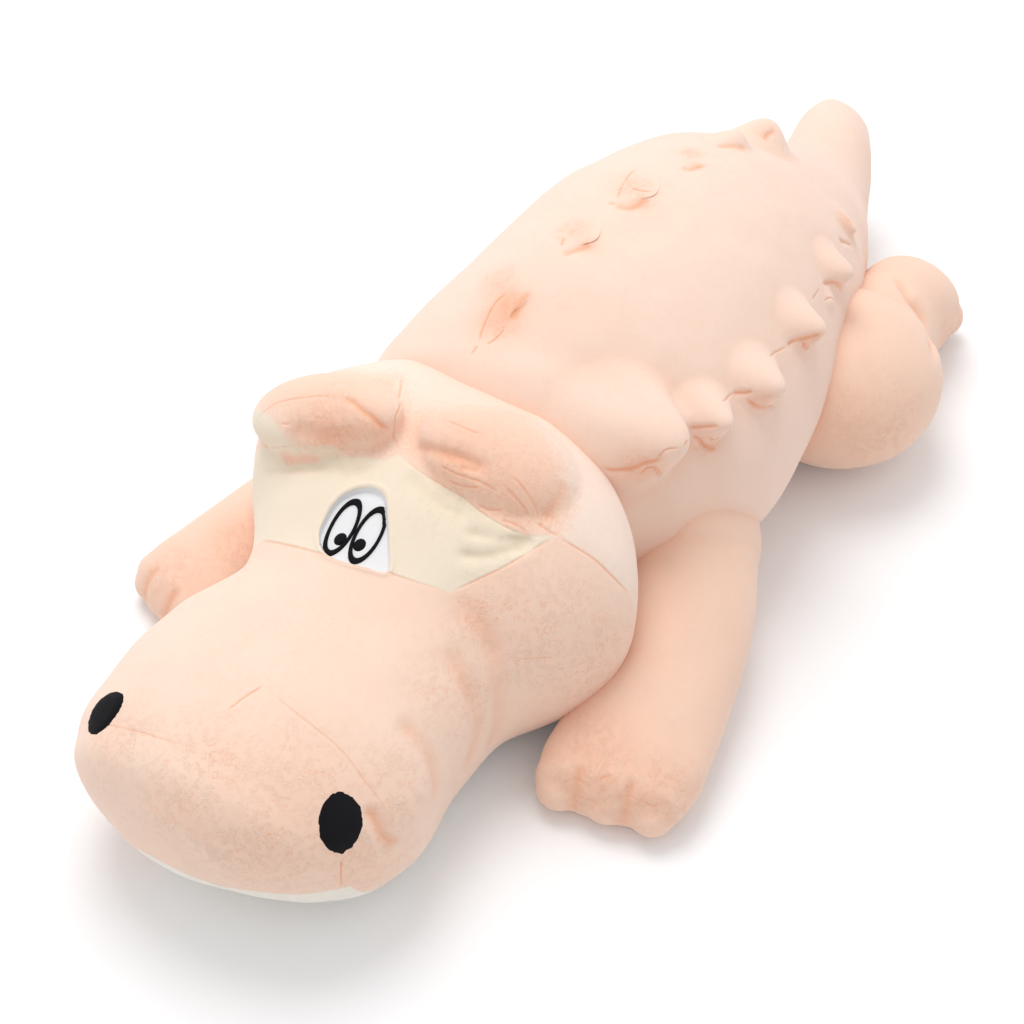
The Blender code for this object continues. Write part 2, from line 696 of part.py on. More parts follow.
for side_name in SPINE_SPREADS:
    for number, place_share in enumerate(SPINE_PLACE_SHARES[side_name]):
        size = SPINE_SIZE_SHARES[side_name][number]
        base = FIRST_SPINE_BASE if number == 0 else SPINE_BASE * size
        height = FIRST_SPINE_HEIGHT if number == 0 else SPINE_HEIGHT * size
        made = spine(f"spine_{side_name}_{number + 1}", place_share, base, height, side_name)
        finish(made, body_carrier, peach)
remove(body_swell, *body_space)

finish(body_cover, body_carrier, peach)
finish(belly_panel, body_carrier, chin_white)
finish(body_stuffing, body_carrier, fibre)

# Neck
neck_stuffing = neck_ball("neck_stuffing", NECK_RADIUS, 0.0)
finish(neck_stuffing, turn_axis, fibre)

# Head
head_cover = head_form("head_cover", 0.0)
head_lining = head_form("head_lining", -CLOTH)
head_stuffing = head_form("head_stuffing", -CLOTH - SEAT_GAP, STUFFING_STEPS)
cut(head_cover, floor_tool, head_lining, socket)
cut(head_stuffing, socket)
remove(head_lining, socket)


def eye_panel_outline(inset):
    """The cream panel over the eyes: straight at the front, drawn to a corner each side."""
    half = EYE_PANEL_WIDTH / 2 - inset
    rear = HEAD_REAR - EYE_PANEL_SETBACK - inset
    front = HEAD_REAR - EYE_PANEL_SETBACK - EYE_PANEL_LENGTH + inset
    deep = rear - front
    corner_shares = ((0.0, 0.0), (0.36, 0.03), (0.66, 0.15), (0.82, 0.50), (0.98, 0.88),
                     (0.80, 1.0), (0.40, 1.0))
    right = [(FACE_SHIFT + half * wide, front + deep * back) for wide, back in corner_shares]
    left = [(FACE_SHIFT - half * wide, front + deep * back)
            for wide, back in reversed(corner_shares[1:])]
    return right + left


def band(name, outline, high_spread, low_spread):
    """A thin patch that follows the head's curve between two offsets from its surface."""
    tool = prism("patch_tool", outline, NECK_PLACE.z, NECK_PLACE.z + HEAD_HEIGHT, HEAD_PLACING)
    made = head_form(name, high_spread)
    under = head_form("under", low_spread)
    cut(made, under)
    keep(made, tool)
    remove(tool, under)
    return made


panel_low = NECK_PLACE.z
panel_high = NECK_PLACE.z + HEAD_HEIGHT
eye_place = HEAD_REAR - EYE_WINDOW_SETBACK
window_outline = oval(FACE_SHIFT, eye_place, EYE_WINDOW_WIDTH / 2, EYE_WINDOW_LENGTH / 2,
                      3.0, 0.0, WINDOW_SIDES)
window_tool = prism("window", window_outline, panel_low, panel_high, HEAD_PLACING)
eye_panel = copied(head_cover, "eye_panel")
keep_tool = prism("panel_keep", eye_panel_outline(SEAM_GAP), panel_low, panel_high, HEAD_PLACING)
cut_tool = prism("panel_cut", eye_panel_outline(0.0), panel_low, panel_high, HEAD_PLACING)
keep(eye_panel, keep_tool)
cut(eye_panel, window_tool)
cut(head_cover, cut_tool)
remove(keep_tool, cut_tool, window_tool)


def chin_outline(inset):
    """The pale panel under the jaw, drawn in from the head's own outline."""
    rows = through(HEAD_STATION_SHARES, HEAD_RINGS)[2:-1]
    right = []
    left = []
    for row in rows:
        half = row[3] * HEAD_WIDTH - CHIN_INSET - inset
        middle = row[1] * HEAD_WIDTH
        place = HEAD_REAR - row[0] * HEAD_LENGTH - (inset if not right else 0.0)
        right.append((middle + half, place))
        left.append((middle - half, place))
    tip = HEAD_REAR - HEAD_LENGTH + CHIN_INSET / 2 + inset
    return right + [(0.0, tip)] + left[::-1]


chin_panel = copied(head_cover, "chin_panel")
keep_tool = prism("chin_keep", chin_outline(SEAM_GAP), -OVERRUN, CHIN_TOP - SEAM_GAP,
                  HEAD_PLACING)
cut_tool = prism("chin_cut", chin_outline(0.0), -OVERRUN, CHIN_TOP, HEAD_PLACING)
keep(chin_panel, keep_tool)
cut(head_cover, cut_tool)
remove(keep_tool, cut_tool)

# Brows. Each is a stuffed oval, sunk into the crown and cut to its curve.
BROW_SIZES = {
    "left": (1.0, BROW_LEFT_DEPTH, BROW_LEFT_HEIGHT, BROW_LEFT_RISE, BROW_LEFT_SLOPE),
    "right": (-1.0, BROW_RIGHT_DEPTH, BROW_RIGHT_HEIGHT, BROW_RIGHT_RISE, BROW_RIGHT_SLOPE),
}
head_swell = head_form("head_swell", SEAT_GAP)
for side_name, (side, depth, height, rise, droop) in BROW_SIZES.items():
    shape = bmesh.new()
    bmesh.ops.create_uvsphere(shape, u_segments=BROW_SIDES, v_segments=BROW_RINGS, radius=1.0)
    squeeze = Matrix.Diagonal((BROW_LENGTH / 2, depth / 2, height / 2, 1.0))
    bmesh.ops.transform(shape, matrix=squeeze, verts=shape.verts)
    slope = Matrix.Rotation(side * droop, 4, "Y")
    place = Matrix.Translation((FACE_SHIFT + side * BROW_SPACING / 2, HEAD_REAR - BROW_SETBACK,
                                HEAD_HEIGHT + rise - height / 2))
    bmesh.ops.transform(shape, matrix=HEAD_PLACING @ place @ slope, verts=shape.verts)
    brow = from_bmesh("brow_" + side_name, shape)
    cut(brow, head_swell)
    finish(brow, nod_axis, peach)
remove(head_swell)

# Nostrils and eyes
for side_name, side in (("left", 1.0), ("right", -1.0)):
    outline = oval(NOSTRIL_SHIFT + side * NOSTRIL_SPACING / 2, HEAD_NOSE + NOSTRIL_SETBACK,
                   NOSTRIL_WIDTH / 2, NOSTRIL_LENGTH / 2, 2.6, side * NOSTRIL_TURN,
                   NOSTRIL_SIDES)
    nostril = band("nostril_" + side_name, outline, PATCH_HEIGHT, SEAM_GAP)
    finish(nostril, nod_axis, black_thread)
felt_outline = oval(FACE_SHIFT, eye_place, EYE_WINDOW_WIDTH / 2 - SEAM_GAP,
                    EYE_WINDOW_LENGTH / 2 - SEAM_GAP, 3.0, 0.0, WINDOW_SIDES)
eye_white = band("eye_white", felt_outline, -EYE_RECESS, -EYE_RECESS - EYE_FELT)
finish(eye_white, nod_axis, white_felt)
for side_name, side in (("left", 1.0), ("right", -1.0)):
    stitch_low = -EYE_RECESS + SEAM_GAP
    centre = FACE_SHIFT + side * EYE_SPACING / 2
    ring_outline = oval(centre, eye_place, EYE_WIDTH / 2, EYE_HEIGHT / 2, 2.0, 0.0, WINDOW_SIDES)
    inner_outline = oval(centre, eye_place, EYE_WIDTH / 2 - EYE_LINE,
                         EYE_HEIGHT / 2 - EYE_LINE, 2.0, 0.0, WINDOW_SIDES)
    ring = band("eye_ring_" + side_name, ring_outline, stitch_low + EYE_STITCH, stitch_low)
    inner = prism("inner", inner_outline, panel_low, panel_high, HEAD_PLACING)
    cut(ring, inner)
    remove(inner)
    pupil_outline = oval(centre, eye_place - EYE_LINE, PUPIL_WIDTH / 2, PUPIL_WIDTH / 2,
                         2.0, 0.0, MOUTH_SIDES)
    pupil = band("pupil_" + side_name, pupil_outline, stitch_low + EYE_STITCH, stitch_low)
    finish(ring, nod_axis, black_thread)
    finish(pupil, nod_axis, black_thread)

finish(head_cover, nod_axis, peach)
finish(eye_panel, nod_axis, cream)
finish(chin_panel, nod_axis, chin_white)
finish(head_stuffing, nod_axis, fibre)
remove(floor_tool)

# The origin is the middle of the whole crocodile's footprint
bpy.context.view_layer.update()
corners = [piece.matrix_world @ corner.co for piece in bpy.data.objects if piece.type == "MESH"
           for corner in piece.data.vertices]
middle_x = (min(corner.x for corner in corners) + max(corner.x for corner in corners)) / 2
middle_y = (min(corner.y for corner in corners) + max(corner.y for corner in corners)) / 2
body_carrier.location = (-middle_x, -middle_y, 0.0)
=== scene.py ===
"""Large plush crocodile lying on its belly, with its sewn and stuffed skins modelled in full."""
import json
import math

import bmesh
import bpy
import numpy as np
from mathutils import Matrix, Vector, noise
from mathutils.bvhtree import BVHTree
from mathutils.kdtree import KDTree


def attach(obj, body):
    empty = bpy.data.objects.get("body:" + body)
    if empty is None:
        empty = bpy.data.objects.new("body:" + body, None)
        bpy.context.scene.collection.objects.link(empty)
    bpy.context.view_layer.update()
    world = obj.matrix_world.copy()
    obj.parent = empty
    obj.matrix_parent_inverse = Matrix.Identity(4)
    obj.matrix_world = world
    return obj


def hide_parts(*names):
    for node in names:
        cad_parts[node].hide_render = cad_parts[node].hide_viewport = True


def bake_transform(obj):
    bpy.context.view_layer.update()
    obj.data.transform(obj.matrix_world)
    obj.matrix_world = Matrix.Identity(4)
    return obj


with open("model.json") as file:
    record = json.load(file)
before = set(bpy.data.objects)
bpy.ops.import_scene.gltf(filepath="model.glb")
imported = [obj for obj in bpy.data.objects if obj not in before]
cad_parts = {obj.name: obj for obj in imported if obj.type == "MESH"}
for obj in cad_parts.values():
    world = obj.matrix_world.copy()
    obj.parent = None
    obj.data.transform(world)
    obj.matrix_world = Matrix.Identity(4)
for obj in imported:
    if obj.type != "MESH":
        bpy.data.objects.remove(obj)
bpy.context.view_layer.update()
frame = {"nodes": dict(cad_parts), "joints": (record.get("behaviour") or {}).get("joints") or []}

# Camera. It stands ahead of the crocodile's left side and looks down at the back, with the
# nose at the lower left of a square picture. Places seen in that picture are given in pixels.
PICTURE_WIDTH = 1024
neck = Vector([joint for joint in frame["joints"] if joint["name"] == "head_turn"][0]["pos_m"])
CAMERA_AIM = neck + Vector((0.0230, 0.0359, -0.0330))
CAMERA_AZIMUTH = math.radians(42.236)
CAMERA_ELEVATION = math.radians(47.996)
CAMERA_DISTANCE = 1.7476
CAMERA_LENS_MM = 75.10
CAMERA_FILM_MM = 36.0

camera_data = bpy.data.cameras.new("camera")
camera_data.lens = CAMERA_LENS_MM
camera_data.sensor_width = CAMERA_FILM_MM
camera = bpy.data.objects.new("camera", camera_data)
bpy.context.scene.collection.objects.link(camera)
bpy.context.scene.camera = camera
towards_camera = Vector((math.sin(CAMERA_AZIMUTH) * math.cos(CAMERA_ELEVATION),
                         -math.cos(CAMERA_AZIMUTH) * math.cos(CAMERA_ELEVATION),
                         math.sin(CAMERA_ELEVATION)))
camera.location = CAMERA_AIM + towards_camera * CAMERA_DISTANCE
camera.rotation_euler = towards_camera.to_track_quat("Z", "Y").to_euler()
camera_turn = towards_camera.to_track_quat("Z", "Y").to_matrix()


def sight_line(pixel):
    """The direction from the camera through a pixel of the picture."""
    reach = PICTURE_WIDTH * CAMERA_LENS_MM / CAMERA_FILM_MM
    aim = Vector((pixel[0] - PICTURE_WIDTH / 2, PICTURE_WIDTH / 2 - pixel[1], -reach))
    return (camera_turn @ aim).normalized()


# Body. One stuffed tube of peach plush runs from the neck seam over the belly to the tip of
# the tail. Its panels are sewn edge to edge, and the two rows of spines are sewn into them.
BODY_LENGTH = 0.603
BODY_WIDTH = 0.328
BODY_HEIGHT = 0.250
BODY_START = neck.y + 0.012
BODY_MIDDLE = neck.x - 0.012
HEAD_YAW = math.radians(13.6)
NECK_LEAN_SHARE = 0.36
BACK_ROUND_SHARE = 2.0
BELLY_ROUND_SHARE = 2.3
# Stations: place along, sideways shift, lift of the lowest point, half width, rise and drop
# from the middle, roll in degrees, and lean. The first ones turn in under the head.
BODY_STATION_SHARES = (
    (-0.085, 0.050, 0.140, 0.160, 0.220, 0.250, 6.0, NECK_LEAN_SHARE),
    (-0.060, 0.055, 0.100, 0.270, 0.350, 0.350, 6.0, NECK_LEAN_SHARE),
    (-0.030, 0.058, 0.060, 0.345, 0.425, 0.410, 7.0, NECK_LEAN_SHARE),
    (0.022, 0.068, 0.020, 0.405, 0.462, 0.455, 10.0, NECK_LEAN_SHARE),
    (0.085, 0.090, 0.002, 0.447, 0.485, 0.482, 15.0, 0.26),
    (0.220, 0.128, -0.002, 0.490, 0.507, 0.498, 22.0, 0.06),
    (0.420, 0.072, -0.002, 0.468, 0.506, 0.500, 27.0, 0.0),
    (0.605, 0.006, -0.002, 0.384, 0.444, 0.450, 25.0, 0.0),
    (0.770, -0.038, -0.002, 0.258, 0.330, 0.330, 14.0, 0.0),
    (0.880, -0.088, 0.060, 0.166, 0.236, 0.218, 6.0, 0.0),
    (0.955, -0.148, 0.195, 0.130, 0.168, 0.162, 2.0, 0.0),
    (0.995, -0.174, 0.300, 0.096, 0.104, 0.094, 0.0, 0.0),
)
SKIN_RINGS = 64
SKIN_SIDES = 72
END_BULGE_SHARE = 0.4
BODY_VOXEL = 0.0034
BODY_EASE_ROUNDS = 6
BODY_SWELL = 0.0030
BODY_SEED = 3.0


def row_at(table, place):
    """The row of a station table at one place along it, read on a smooth curve."""
    rows = np.array(table, dtype=float)
    slopes = np.gradient(rows, rows[:, 0], axis=0)
    here = min(int(np.searchsorted(rows[:, 0], place, side="right")) - 1, len(rows) - 2)
    step = rows[here + 1, 0] - rows[here, 0]
    t = (place - rows[here, 0]) / step
    near = (1 + 2 * t) * (1 - t) ** 2 * rows[here] + t * (1 - t) ** 2 * step * slopes[here]
    far = t * t * (3 - 2 * t) * rows[here + 1] + t * t * (t - 1) * step * slopes[here + 1]
    return near + far


def stations(table, count=SKIN_RINGS):
    """Rows of a station table on its smooth curve, denser towards both ends."""
    even = np.linspace(0.0, 1.0, count)
    eased = (0.5 - 0.5 * np.cos(np.pi * even) + even) / 2
    return [row_at(table, table[0][0] + (table[-1][0] - table[0][0]) * share)
            for share in eased]


def section(half_width, up, down, top_round, low_round, sides=SKIN_SIDES):
    """One cross-section round its centre, as (sideways, upward) pairs."""
    pairs = []
    for index in range(sides):
        angle = 2 * math.pi * (index + 0.5) / sides
        across, rise = math.cos(angle), math.sin(angle)
        power, reach = (top_round, up) if rise > 0 else (low_round, down)
        pairs.append((math.copysign(abs(across) ** (2 / power), across) * half_width,
                      math.copysign(abs(rise) ** (2 / power), rise) * reach))
    return pairs


def rolled(pairs, roll):
    """Section pairs after the section is rolled over to one side, by degrees."""
    angle = math.radians(-roll)
    return [(across * math.cos(angle) - rise * math.sin(angle),
             across * math.sin(angle) + rise * math.cos(angle)) for across, rise in pairs]


def object_from(name, shape):
    """A new object in the scene that holds a finished bmesh."""
    mesh = bpy.data.meshes.new(name)
    shape.to_mesh(mesh)
    shape.free()
    made = bpy.data.objects.new(name, mesh)
    bpy.context.scene.collection.objects.link(made)
    return made


def loft(shape, rings):
    """Skins rings of equal count in a bmesh and closes both ends to a point."""
    loops = [[shape.verts.new(point) for point in ring] for ring in rings]
    sides = len(loops[0])
    for near, far in zip(loops, loops[1:]):
        for index in range(sides):
            after = (index + 1) % sides
            shape.faces.new((near[index], near[after], far[after], far[index]))
    for end, inner in ((rings[0], rings[1]), (rings[-1], rings[-2])):
        middle = sum(end, Vector()) / sides
        bulge = (middle - sum(inner, Vector()) / sides) * END_BULGE_SHARE
        tip = shape.verts.new(middle + bulge)
        loop = loops[0] if end is rings[0] else loops[-1]
        for index in range(sides):
            shape.faces.new((loop[index], loop[(index + 1) % sides], tip))


def lump(shape, centre, radii, turn=Matrix.Identity(3)):
    """An oval ball of stuffing in a bmesh."""
    placing = Matrix.Translation(centre) @ turn.to_4x4() @ Matrix.Diagonal((*radii, 1.0))
    bmesh.ops.create_icosphere(shape, subdivisions=4, radius=1.0, matrix=placing)


def sewn_skin(name, shape, voxel, rounds):
    """Joins overlapping stuffed forms into one skin and eases the hollows between them."""
    bmesh.ops.recalc_face_normals(shape, faces=shape.faces)
    rough = object_from(name + "_rough", shape)
    remesh = rough.modifiers.new("join", "REMESH")
    remesh.mode = "VOXEL"
    remesh.voxel_size = voxel
    ease = rough.modifiers.new("ease", "SMOOTH")
    ease.factor = 0.5
    ease.iterations = rounds
    graph = bpy.context.evaluated_depsgraph_get()
    mesh = bpy.data.meshes.new_from_object(rough.evaluated_get(graph))
    mesh.name = name
    bpy.data.objects.remove(rough, do_unlink=True)
    made = bpy.data.objects.new(name, mesh)
    bpy.context.scene.collection.objects.link(made)
    return made


def points_of(piece):
    """A piece's vertices as an array."""
    flat = np.empty(len(piece.data.vertices) * 3)
    piece.data.vertices.foreach_get("co", flat)
    return flat.reshape(-1, 3)


def normals_of(piece):
    """A piece's vertex normals as an array."""
    flat = np.empty(len(piece.data.vertices) * 3)
    piece.data.vertices.foreach_get("normal", flat)
    return flat.reshape(-1, 3)


def set_points(piece, points):
    """Moves a piece's vertices to new places."""
    piece.data.vertices.foreach_set("co", points.reshape(-1))
    piece.data.update()


def set_values(piece, name, values):
    """Writes one number for each vertex, which a material reads by its name."""
    if name not in piece.data.attributes:
        piece.data.attributes.new(name, "FLOAT", "POINT")
    piece.data.attributes[name].data.foreach_set("value", values.astype(np.float32))


def values_of(piece, name):
    """One number for each vertex, or zeros where none were written."""
    values = np.zeros(len(piece.data.vertices), dtype=np.float32)
    if name in piece.data.attributes:
        piece.data.attributes[name].data.foreach_get("value", values)
    return values


def tree_of(piece):
    """A search tree over a piece's surface as it stands."""
    return BVHTree.FromObject(piece, bpy.context.evaluated_depsgraph_get())


def seen_at(tree, pixels):
    """Where the camera sees each pixel on a surface."""
    places = []
    for pixel in pixels:
        hit = tree.ray_cast(camera.location, sight_line(pixel))[0]
        if hit is not None:
            places.append(hit)
    return places


def on_curve(before, start, end, after, t):
    """A place between start and end, on a smooth curve through all four points."""
    return (start * 2 + (end - before) * t
            + (before * 2 - start * 5 + end * 4 - after) * t * t
            + (start * 3 - before - end * 3 + after) * t ** 3) / 2


LINE_STEP = 0.0015


def drawn_on(tree, places):
    """A smooth line through places, laid on the surface, with a point every step."""
    ends = [places[0]] + list(places) + [places[-1]]
    line = []
    for before, start, end, after in zip(ends, ends[1:], ends[2:], ends[3:]):
        count = max(1, round((end - start).length / LINE_STEP))
        line += [on_curve(before, start, end, after, index / count) for index in range(count)]
    line.append(places[-1])
    return np.array([tree.find_nearest(place)[0] for place in line])


def refine_near(piece, lines, reaches):
    """Divides a skin's faces near its seams and folds, once for each reach."""
    points = [Vector(point) for line in lines for point in line]
    tree = KDTree(len(points))
    for index, point in enumerate(points):
        tree.insert(point, index)
    tree.balance()
    shape = bmesh.new()
    shape.from_mesh(piece.data)
    for reach in reaches:
        near = {vert for vert in shape.verts if tree.find(vert.co)[2] < reach}
        edges = [edge for edge in shape.edges if edge.verts[0] in near and edge.verts[1] in near]
        bmesh.ops.subdivide_edges(shape, edges=edges, cuts=1, use_grid_fill=True)
    shape.to_mesh(piece.data)
    shape.free()


# A seam or fold is a narrow valley, which takes most of the depth, in a wide one, and it
# fades out at both ends. Its reach, its wide valley and its lips are shares of its width.
# Shade is painted along it as well, fullest where it is narrow and deep: at a seam it stands
# for the dark stitch line and the shade in it, at a fold for the shade alone.
NARROW_DEPTH_SHARE = 0.6
WIDE_VALLEY_SHARE = 3.4
LINE_REACH_SHARE = 8
LIP_PLACE_SHARE = 2.6
LIP_WIDTH_SHARE = 1.6
CREASE_SHADE_WIDTH_SHARE = 1.1
END_FADES = 5
WAVER_PITCH = 0.047
WAVER_SHARE = 0.2
PUCKER_PITCH = 0.0085
FULL_CREASE_SHADE_WIDTH = 0.0020
FULL_CREASE_SHADE_DEPTH = 0.0008


def press_line(piece, line, width, depth, lip, pucker):
    """Presses a seam or fold into a skin along a line, with puffed lips beside it, and paints
    shade along it.
    """
    points, normals = points_of(piece), normals_of(piece)
    reach = LINE_REACH_SHARE * width
    near = np.all((points > line.min(0) - reach) & (points < line.max(0) + reach), axis=1)
    chosen = np.nonzero(near)[0]
    span = line[1:] - line[:-1]
    lengths = np.maximum(np.linalg.norm(span, axis=1), 1e-9)
    run = np.concatenate(([0.0], np.cumsum(lengths)))
    best = np.full(len(chosen), np.inf)
    along = np.zeros(len(chosen))
    for index, start in enumerate(line[:-1]):
        offset = points[chosen] - start
        t = np.clip(offset @ span[index] / lengths[index] ** 2, 0.0, 1.0)
        gap = np.linalg.norm(offset - t[:, None] * span[index], axis=1)
        closer = gap < best
        best[closer] = gap[closer]
        along[closer] = run[index] + t[closer] * lengths[index]
    share = along / run[-1]
    fade = np.clip(np.minimum(share, 1 - share) * END_FADES, 0.0, 1.0)
    fade = fade * fade * (3 - 2 * fade)
    waver = 1 + WAVER_SHARE * np.sin(along * 2 * np.pi / WAVER_PITCH + 1)
    ripple = 1 + pucker * np.sin(along * 2 * np.pi / PUCKER_PITCH)
    off = best / width
    valley = (NARROW_DEPTH_SHARE * np.exp(-off ** 2)
              + (1 - NARROW_DEPTH_SHARE) * np.exp(-(off / WIDE_VALLEY_SHARE) ** 2))
    lips = np.exp(-((off - LIP_PLACE_SHARE) / LIP_WIDTH_SHARE) ** 2) * lip
    points[chosen] += normals[chosen] * ((lips * ripple - valley * waver) * depth * fade)[:, None]
    set_points(piece, points)
    # Painted shade along the line, which the material reads as a darker colour
    fold = values_of(piece, "fold")
    shade_strength = min(1.0, FULL_CREASE_SHADE_WIDTH / width, depth / FULL_CREASE_SHADE_DEPTH) * fade
    fold[chosen] = np.maximum(fold[chosen], np.exp(-(off / CREASE_SHADE_WIDTH_SHARE) ** 2) * shade_strength)
    set_values(piece, "fold", fold)


NARROW_LINE = 0.004
LINE_REFINE_REACHES = (0.0075, 0.0035)


def alike(lines, line_shape):
    """Lines given in pixels, which are all pressed in with one shape."""
    return [(pixels, *line_shape) for pixels in lines]


def press_lines(piece, lines):
    """Presses each (pixels, width, depth, lip, pucker) line, drawn as the camera sees it."""
    tree = tree_of(piece)
    drawn = []
    for pixels, *line_shape in lines:
        places = seen_at(tree, pixels)
        if len(places) > 1:
            drawn.append((drawn_on(tree, places), line_shape))
    narrow = [line for line, line_shape in drawn if line_shape[0] < NARROW_LINE]
    if narrow:
        refine_near(piece, narrow, LINE_REFINE_REACHES)
    for line, line_shape in drawn:
        press_line(piece, line, *line_shape)


SWELLS_PER_METRE = 11.0
LUMPS_PER_METRE = 34.0
LUMP_SHARE = 0.28
FLOOR_BAND = 0.004
FLOOR_SQUASH = 0.6


def stuff_unevenly(piece, swell, seed):
    """Fibre never fills a skin evenly: slow swells, and finer lumps over them."""
    points, normals = points_of(piece), normals_of(piece)
    shift = Vector((seed, seed * 2.0, seed * 3.0))
    moves = np.array([noise.noise(Vector(point) * SWELLS_PER_METRE + shift) * swell
                      + noise.noise(Vector(point) * LUMPS_PER_METRE + shift) * swell * LUMP_SHARE
                      for point in points])
    set_points(piece, points + normals * moves[:, None])


def laid_on_floor(piece):
    """Presses the underside of a stuffed skin flat against the floor."""
    points = points_of(piece)
    low = points[:, 2] < FLOOR_BAND
    points[low, 2] = np.maximum(points[low, 2], 0.0) * FLOOR_SQUASH
    set_points(piece, points)


body_shape = bmesh.new()
body_rings = []
for along, sideways, lift, half_width, up, down, roll, lean in stations(BODY_STATION_SHARES):
    pairs = rolled(section(half_width * BODY_WIDTH, up * BODY_HEIGHT, down * BODY_HEIGHT,
                           BACK_ROUND_SHARE, BELLY_ROUND_SHARE), roll)
    middle = lift * BODY_HEIGHT - min(rise for across, rise in pairs)
    ring = []
    for across, rise in pairs:
        x = BODY_MIDDLE + sideways * BODY_WIDTH + across
        turn_back = (x - neck.x) * math.tan(HEAD_YAW) / NECK_LEAN_SHARE
        slant = lean * (middle + rise - neck.z + turn_back)
        ring.append(Vector((x, BODY_START + along * BODY_LENGTH + slant, middle + rise)))
    body_rings.append(ring)
loft(body_shape, body_rings)

# Spines. Each is a small stuffed cone of the same plush, sewn in along its row, so that the
# cloth of the back rises into it and its tip droops. The first of each row is larger.
SPINE_REFINE_REACHES = (0.030, 0.016)
SIGHT_STEP = 0.01
SIGHT_STEPS = 70
# Each spine: where its root and its tip are seen, root radius, rise off the back, sharpness
SPINES = (
    ((614, 432), (680, 442), 0.060, 0.032, 0.9),
    ((702, 412), (732, 425), 0.029, 0.022, 1.0),
    ((756, 376), (783, 387), 0.031, 0.021, 1.0),
    ((798, 320), (825, 328), 0.031, 0.021, 1.1),
    ((830, 264), (853, 271), 0.028, 0.019, 1.1),
    ((829, 300), (833, 302), 0.013, 0.005, 1.0),
    ((842, 218), (855, 226), 0.024, 0.015, 1.1),
    ((500, 290), (516, 300), 0.034, 0.020, 0.9),
    ((492, 324), (501, 330), 0.021, 0.009, 0.8),
    ((573, 227), (593, 237), 0.027, 0.021, 0.9),
    ((630, 183), (650, 192), 0.029, 0.021, 0.9),
    ((689, 154), (703, 161), 0.023, 0.016, 0.9),
    ((728, 141), (738, 131), 0.024, 0.009, 0.8),
    ((759, 142), (770, 119), 0.036, 0.012, 0.8),
)


def raise_spine(piece, foot, outward, tip_pixel, radius, height, sharpness):
    """Draws a skin out into a soft cone, whose tip is seen at a pixel of the picture."""
    sight = sight_line(tip_pixel)
    above = foot + outward * height
    tip = camera.location + sight * (above - camera.location).dot(sight)
    draw = tip - foot
    draw *= min(1.0, radius / draw.length)
    points, normals = points_of(piece), normals_of(piece)
    away = np.linalg.norm(points - np.array(foot), axis=1) / radius
    swell = (0.5 + 0.5 * np.cos(np.pi * np.clip(away, 0.0, 1.0))) ** sharpness
    swell = np.where(normals @ np.array(outward) > 0.0, swell, 0.0)
    set_points(piece, points + swell[:, None] * np.array(draw))


def spine_foot(tree, pixel):
    """Where a pixel's line of sight meets the back, or else where it passes nearest."""
    sight = [camera.location + sight_line(pixel) * (CAMERA_DISTANCE + step * SIGHT_STEP)
             for step in range(-SIGHT_STEPS, SIGHT_STEPS + 1)]
    nearest = min((tree.find_nearest(place) for place in sight), key=lambda hit: hit[3])
    return (seen_at(tree, (pixel,)) + [nearest[0]])[0]


body_skin = sewn_skin("body_skin", body_shape, BODY_VOXEL, BODY_EASE_ROUNDS)
stuff_unevenly(body_skin, BODY_SWELL, BODY_SEED)
tree = tree_of(body_skin)
spine_feet = []
for root, *spine_shape in SPINES:
    foot = spine_foot(tree, root)
    spine_feet.append((foot, tree.find_nearest(foot)[1], *spine_shape))
refine_near(body_skin, [[foot] for foot, *rest in spine_feet], SPINE_REFINE_REACHES)
for spine in spine_feet:
    raise_spine(body_skin, *spine)

# A seam runs along each row of spines, and a fold under each where its own weight pulls it.
# Each kind of line: width, depth, how far its lips stand out and how much they pucker
SPINE_FOLD = (0.0016, 0.00169, 0.2, 0.1)
FAR_SPINE_FOLD = (0.00256, 0.0013, 0.2, 0.0)
SPINE_SEAM = (0.0007, 0.0008, 0.2, 0.2)
SPINE_FOLDS = (
    ((598, 466), (608, 470), (622, 470), (634, 468), (645, 463), (656, 461), (666, 456)),
    ((688, 428), (696, 428), (706, 427), (720, 426)),
    ((690, 435), (698, 440), (704, 446), (712, 449), (718, 449)),
    ((732, 394), (738, 393), (746, 393), (754, 391)),
    ((744, 397), (750, 402), (757, 407), (764, 408), (776, 405)),
    ((786, 348), (794, 341), (803, 339), (815, 336), (824, 333)),
    ((803, 342), (805, 347), (809, 349)),
    ((822, 284), (828, 283), (836, 284), (843, 290)),
    ((838, 236), (841, 240), (845, 242), (852, 245)),
)
FAR_SPINE_FOLDS = (
    ((510, 322), (515, 313), (519, 306), (524, 298), (532, 291)),
    ((560, 254), (566, 253), (573, 251), (583, 248), (592, 244)),
    ((614, 203), (620, 206), (630, 208), (640, 204), (650, 198)),
    ((682, 166), (689, 169), (697, 167), (703, 164)),
    ((716, 147), (722, 146), (733, 146), (748, 150)),
    ((763, 140), (769, 134), (776, 130)),
)
SPINE_SEAMS = (
    ((478, 345), (482, 330), (488, 316), (496, 302), (510, 290)),
    ((486, 345), (496, 338), (505, 328)), ((470, 356), (478, 345)),
    ((684, 446), (688, 440)), ((722, 402), (738, 392)), ((770, 356), (788, 346)),
    ((812, 300), (820, 288)), ((561, 246), (564, 237)), ((607, 203), (616, 204)),
    ((617, 200), (622, 186), (630, 174), (640, 168)), ((630, 188), (640, 190), (652, 192)),
    ((633, 470), (640, 474), (648, 468), (658, 470), (662, 477)),
    ((656, 460), (666, 450), (680, 448)), ((646, 466), (655, 470), (660, 478)),
    ((708, 436), (714, 440), (720, 436)), ((824, 302), (829, 298), (834, 301)),
)
press_lines(body_skin, alike(SPINE_FOLDS, SPINE_FOLD) + alike(FAR_SPINE_FOLDS, FAR_SPINE_FOLD)
            + alike(SPINE_SEAMS, SPINE_SEAM))
laid_on_floor(body_skin)

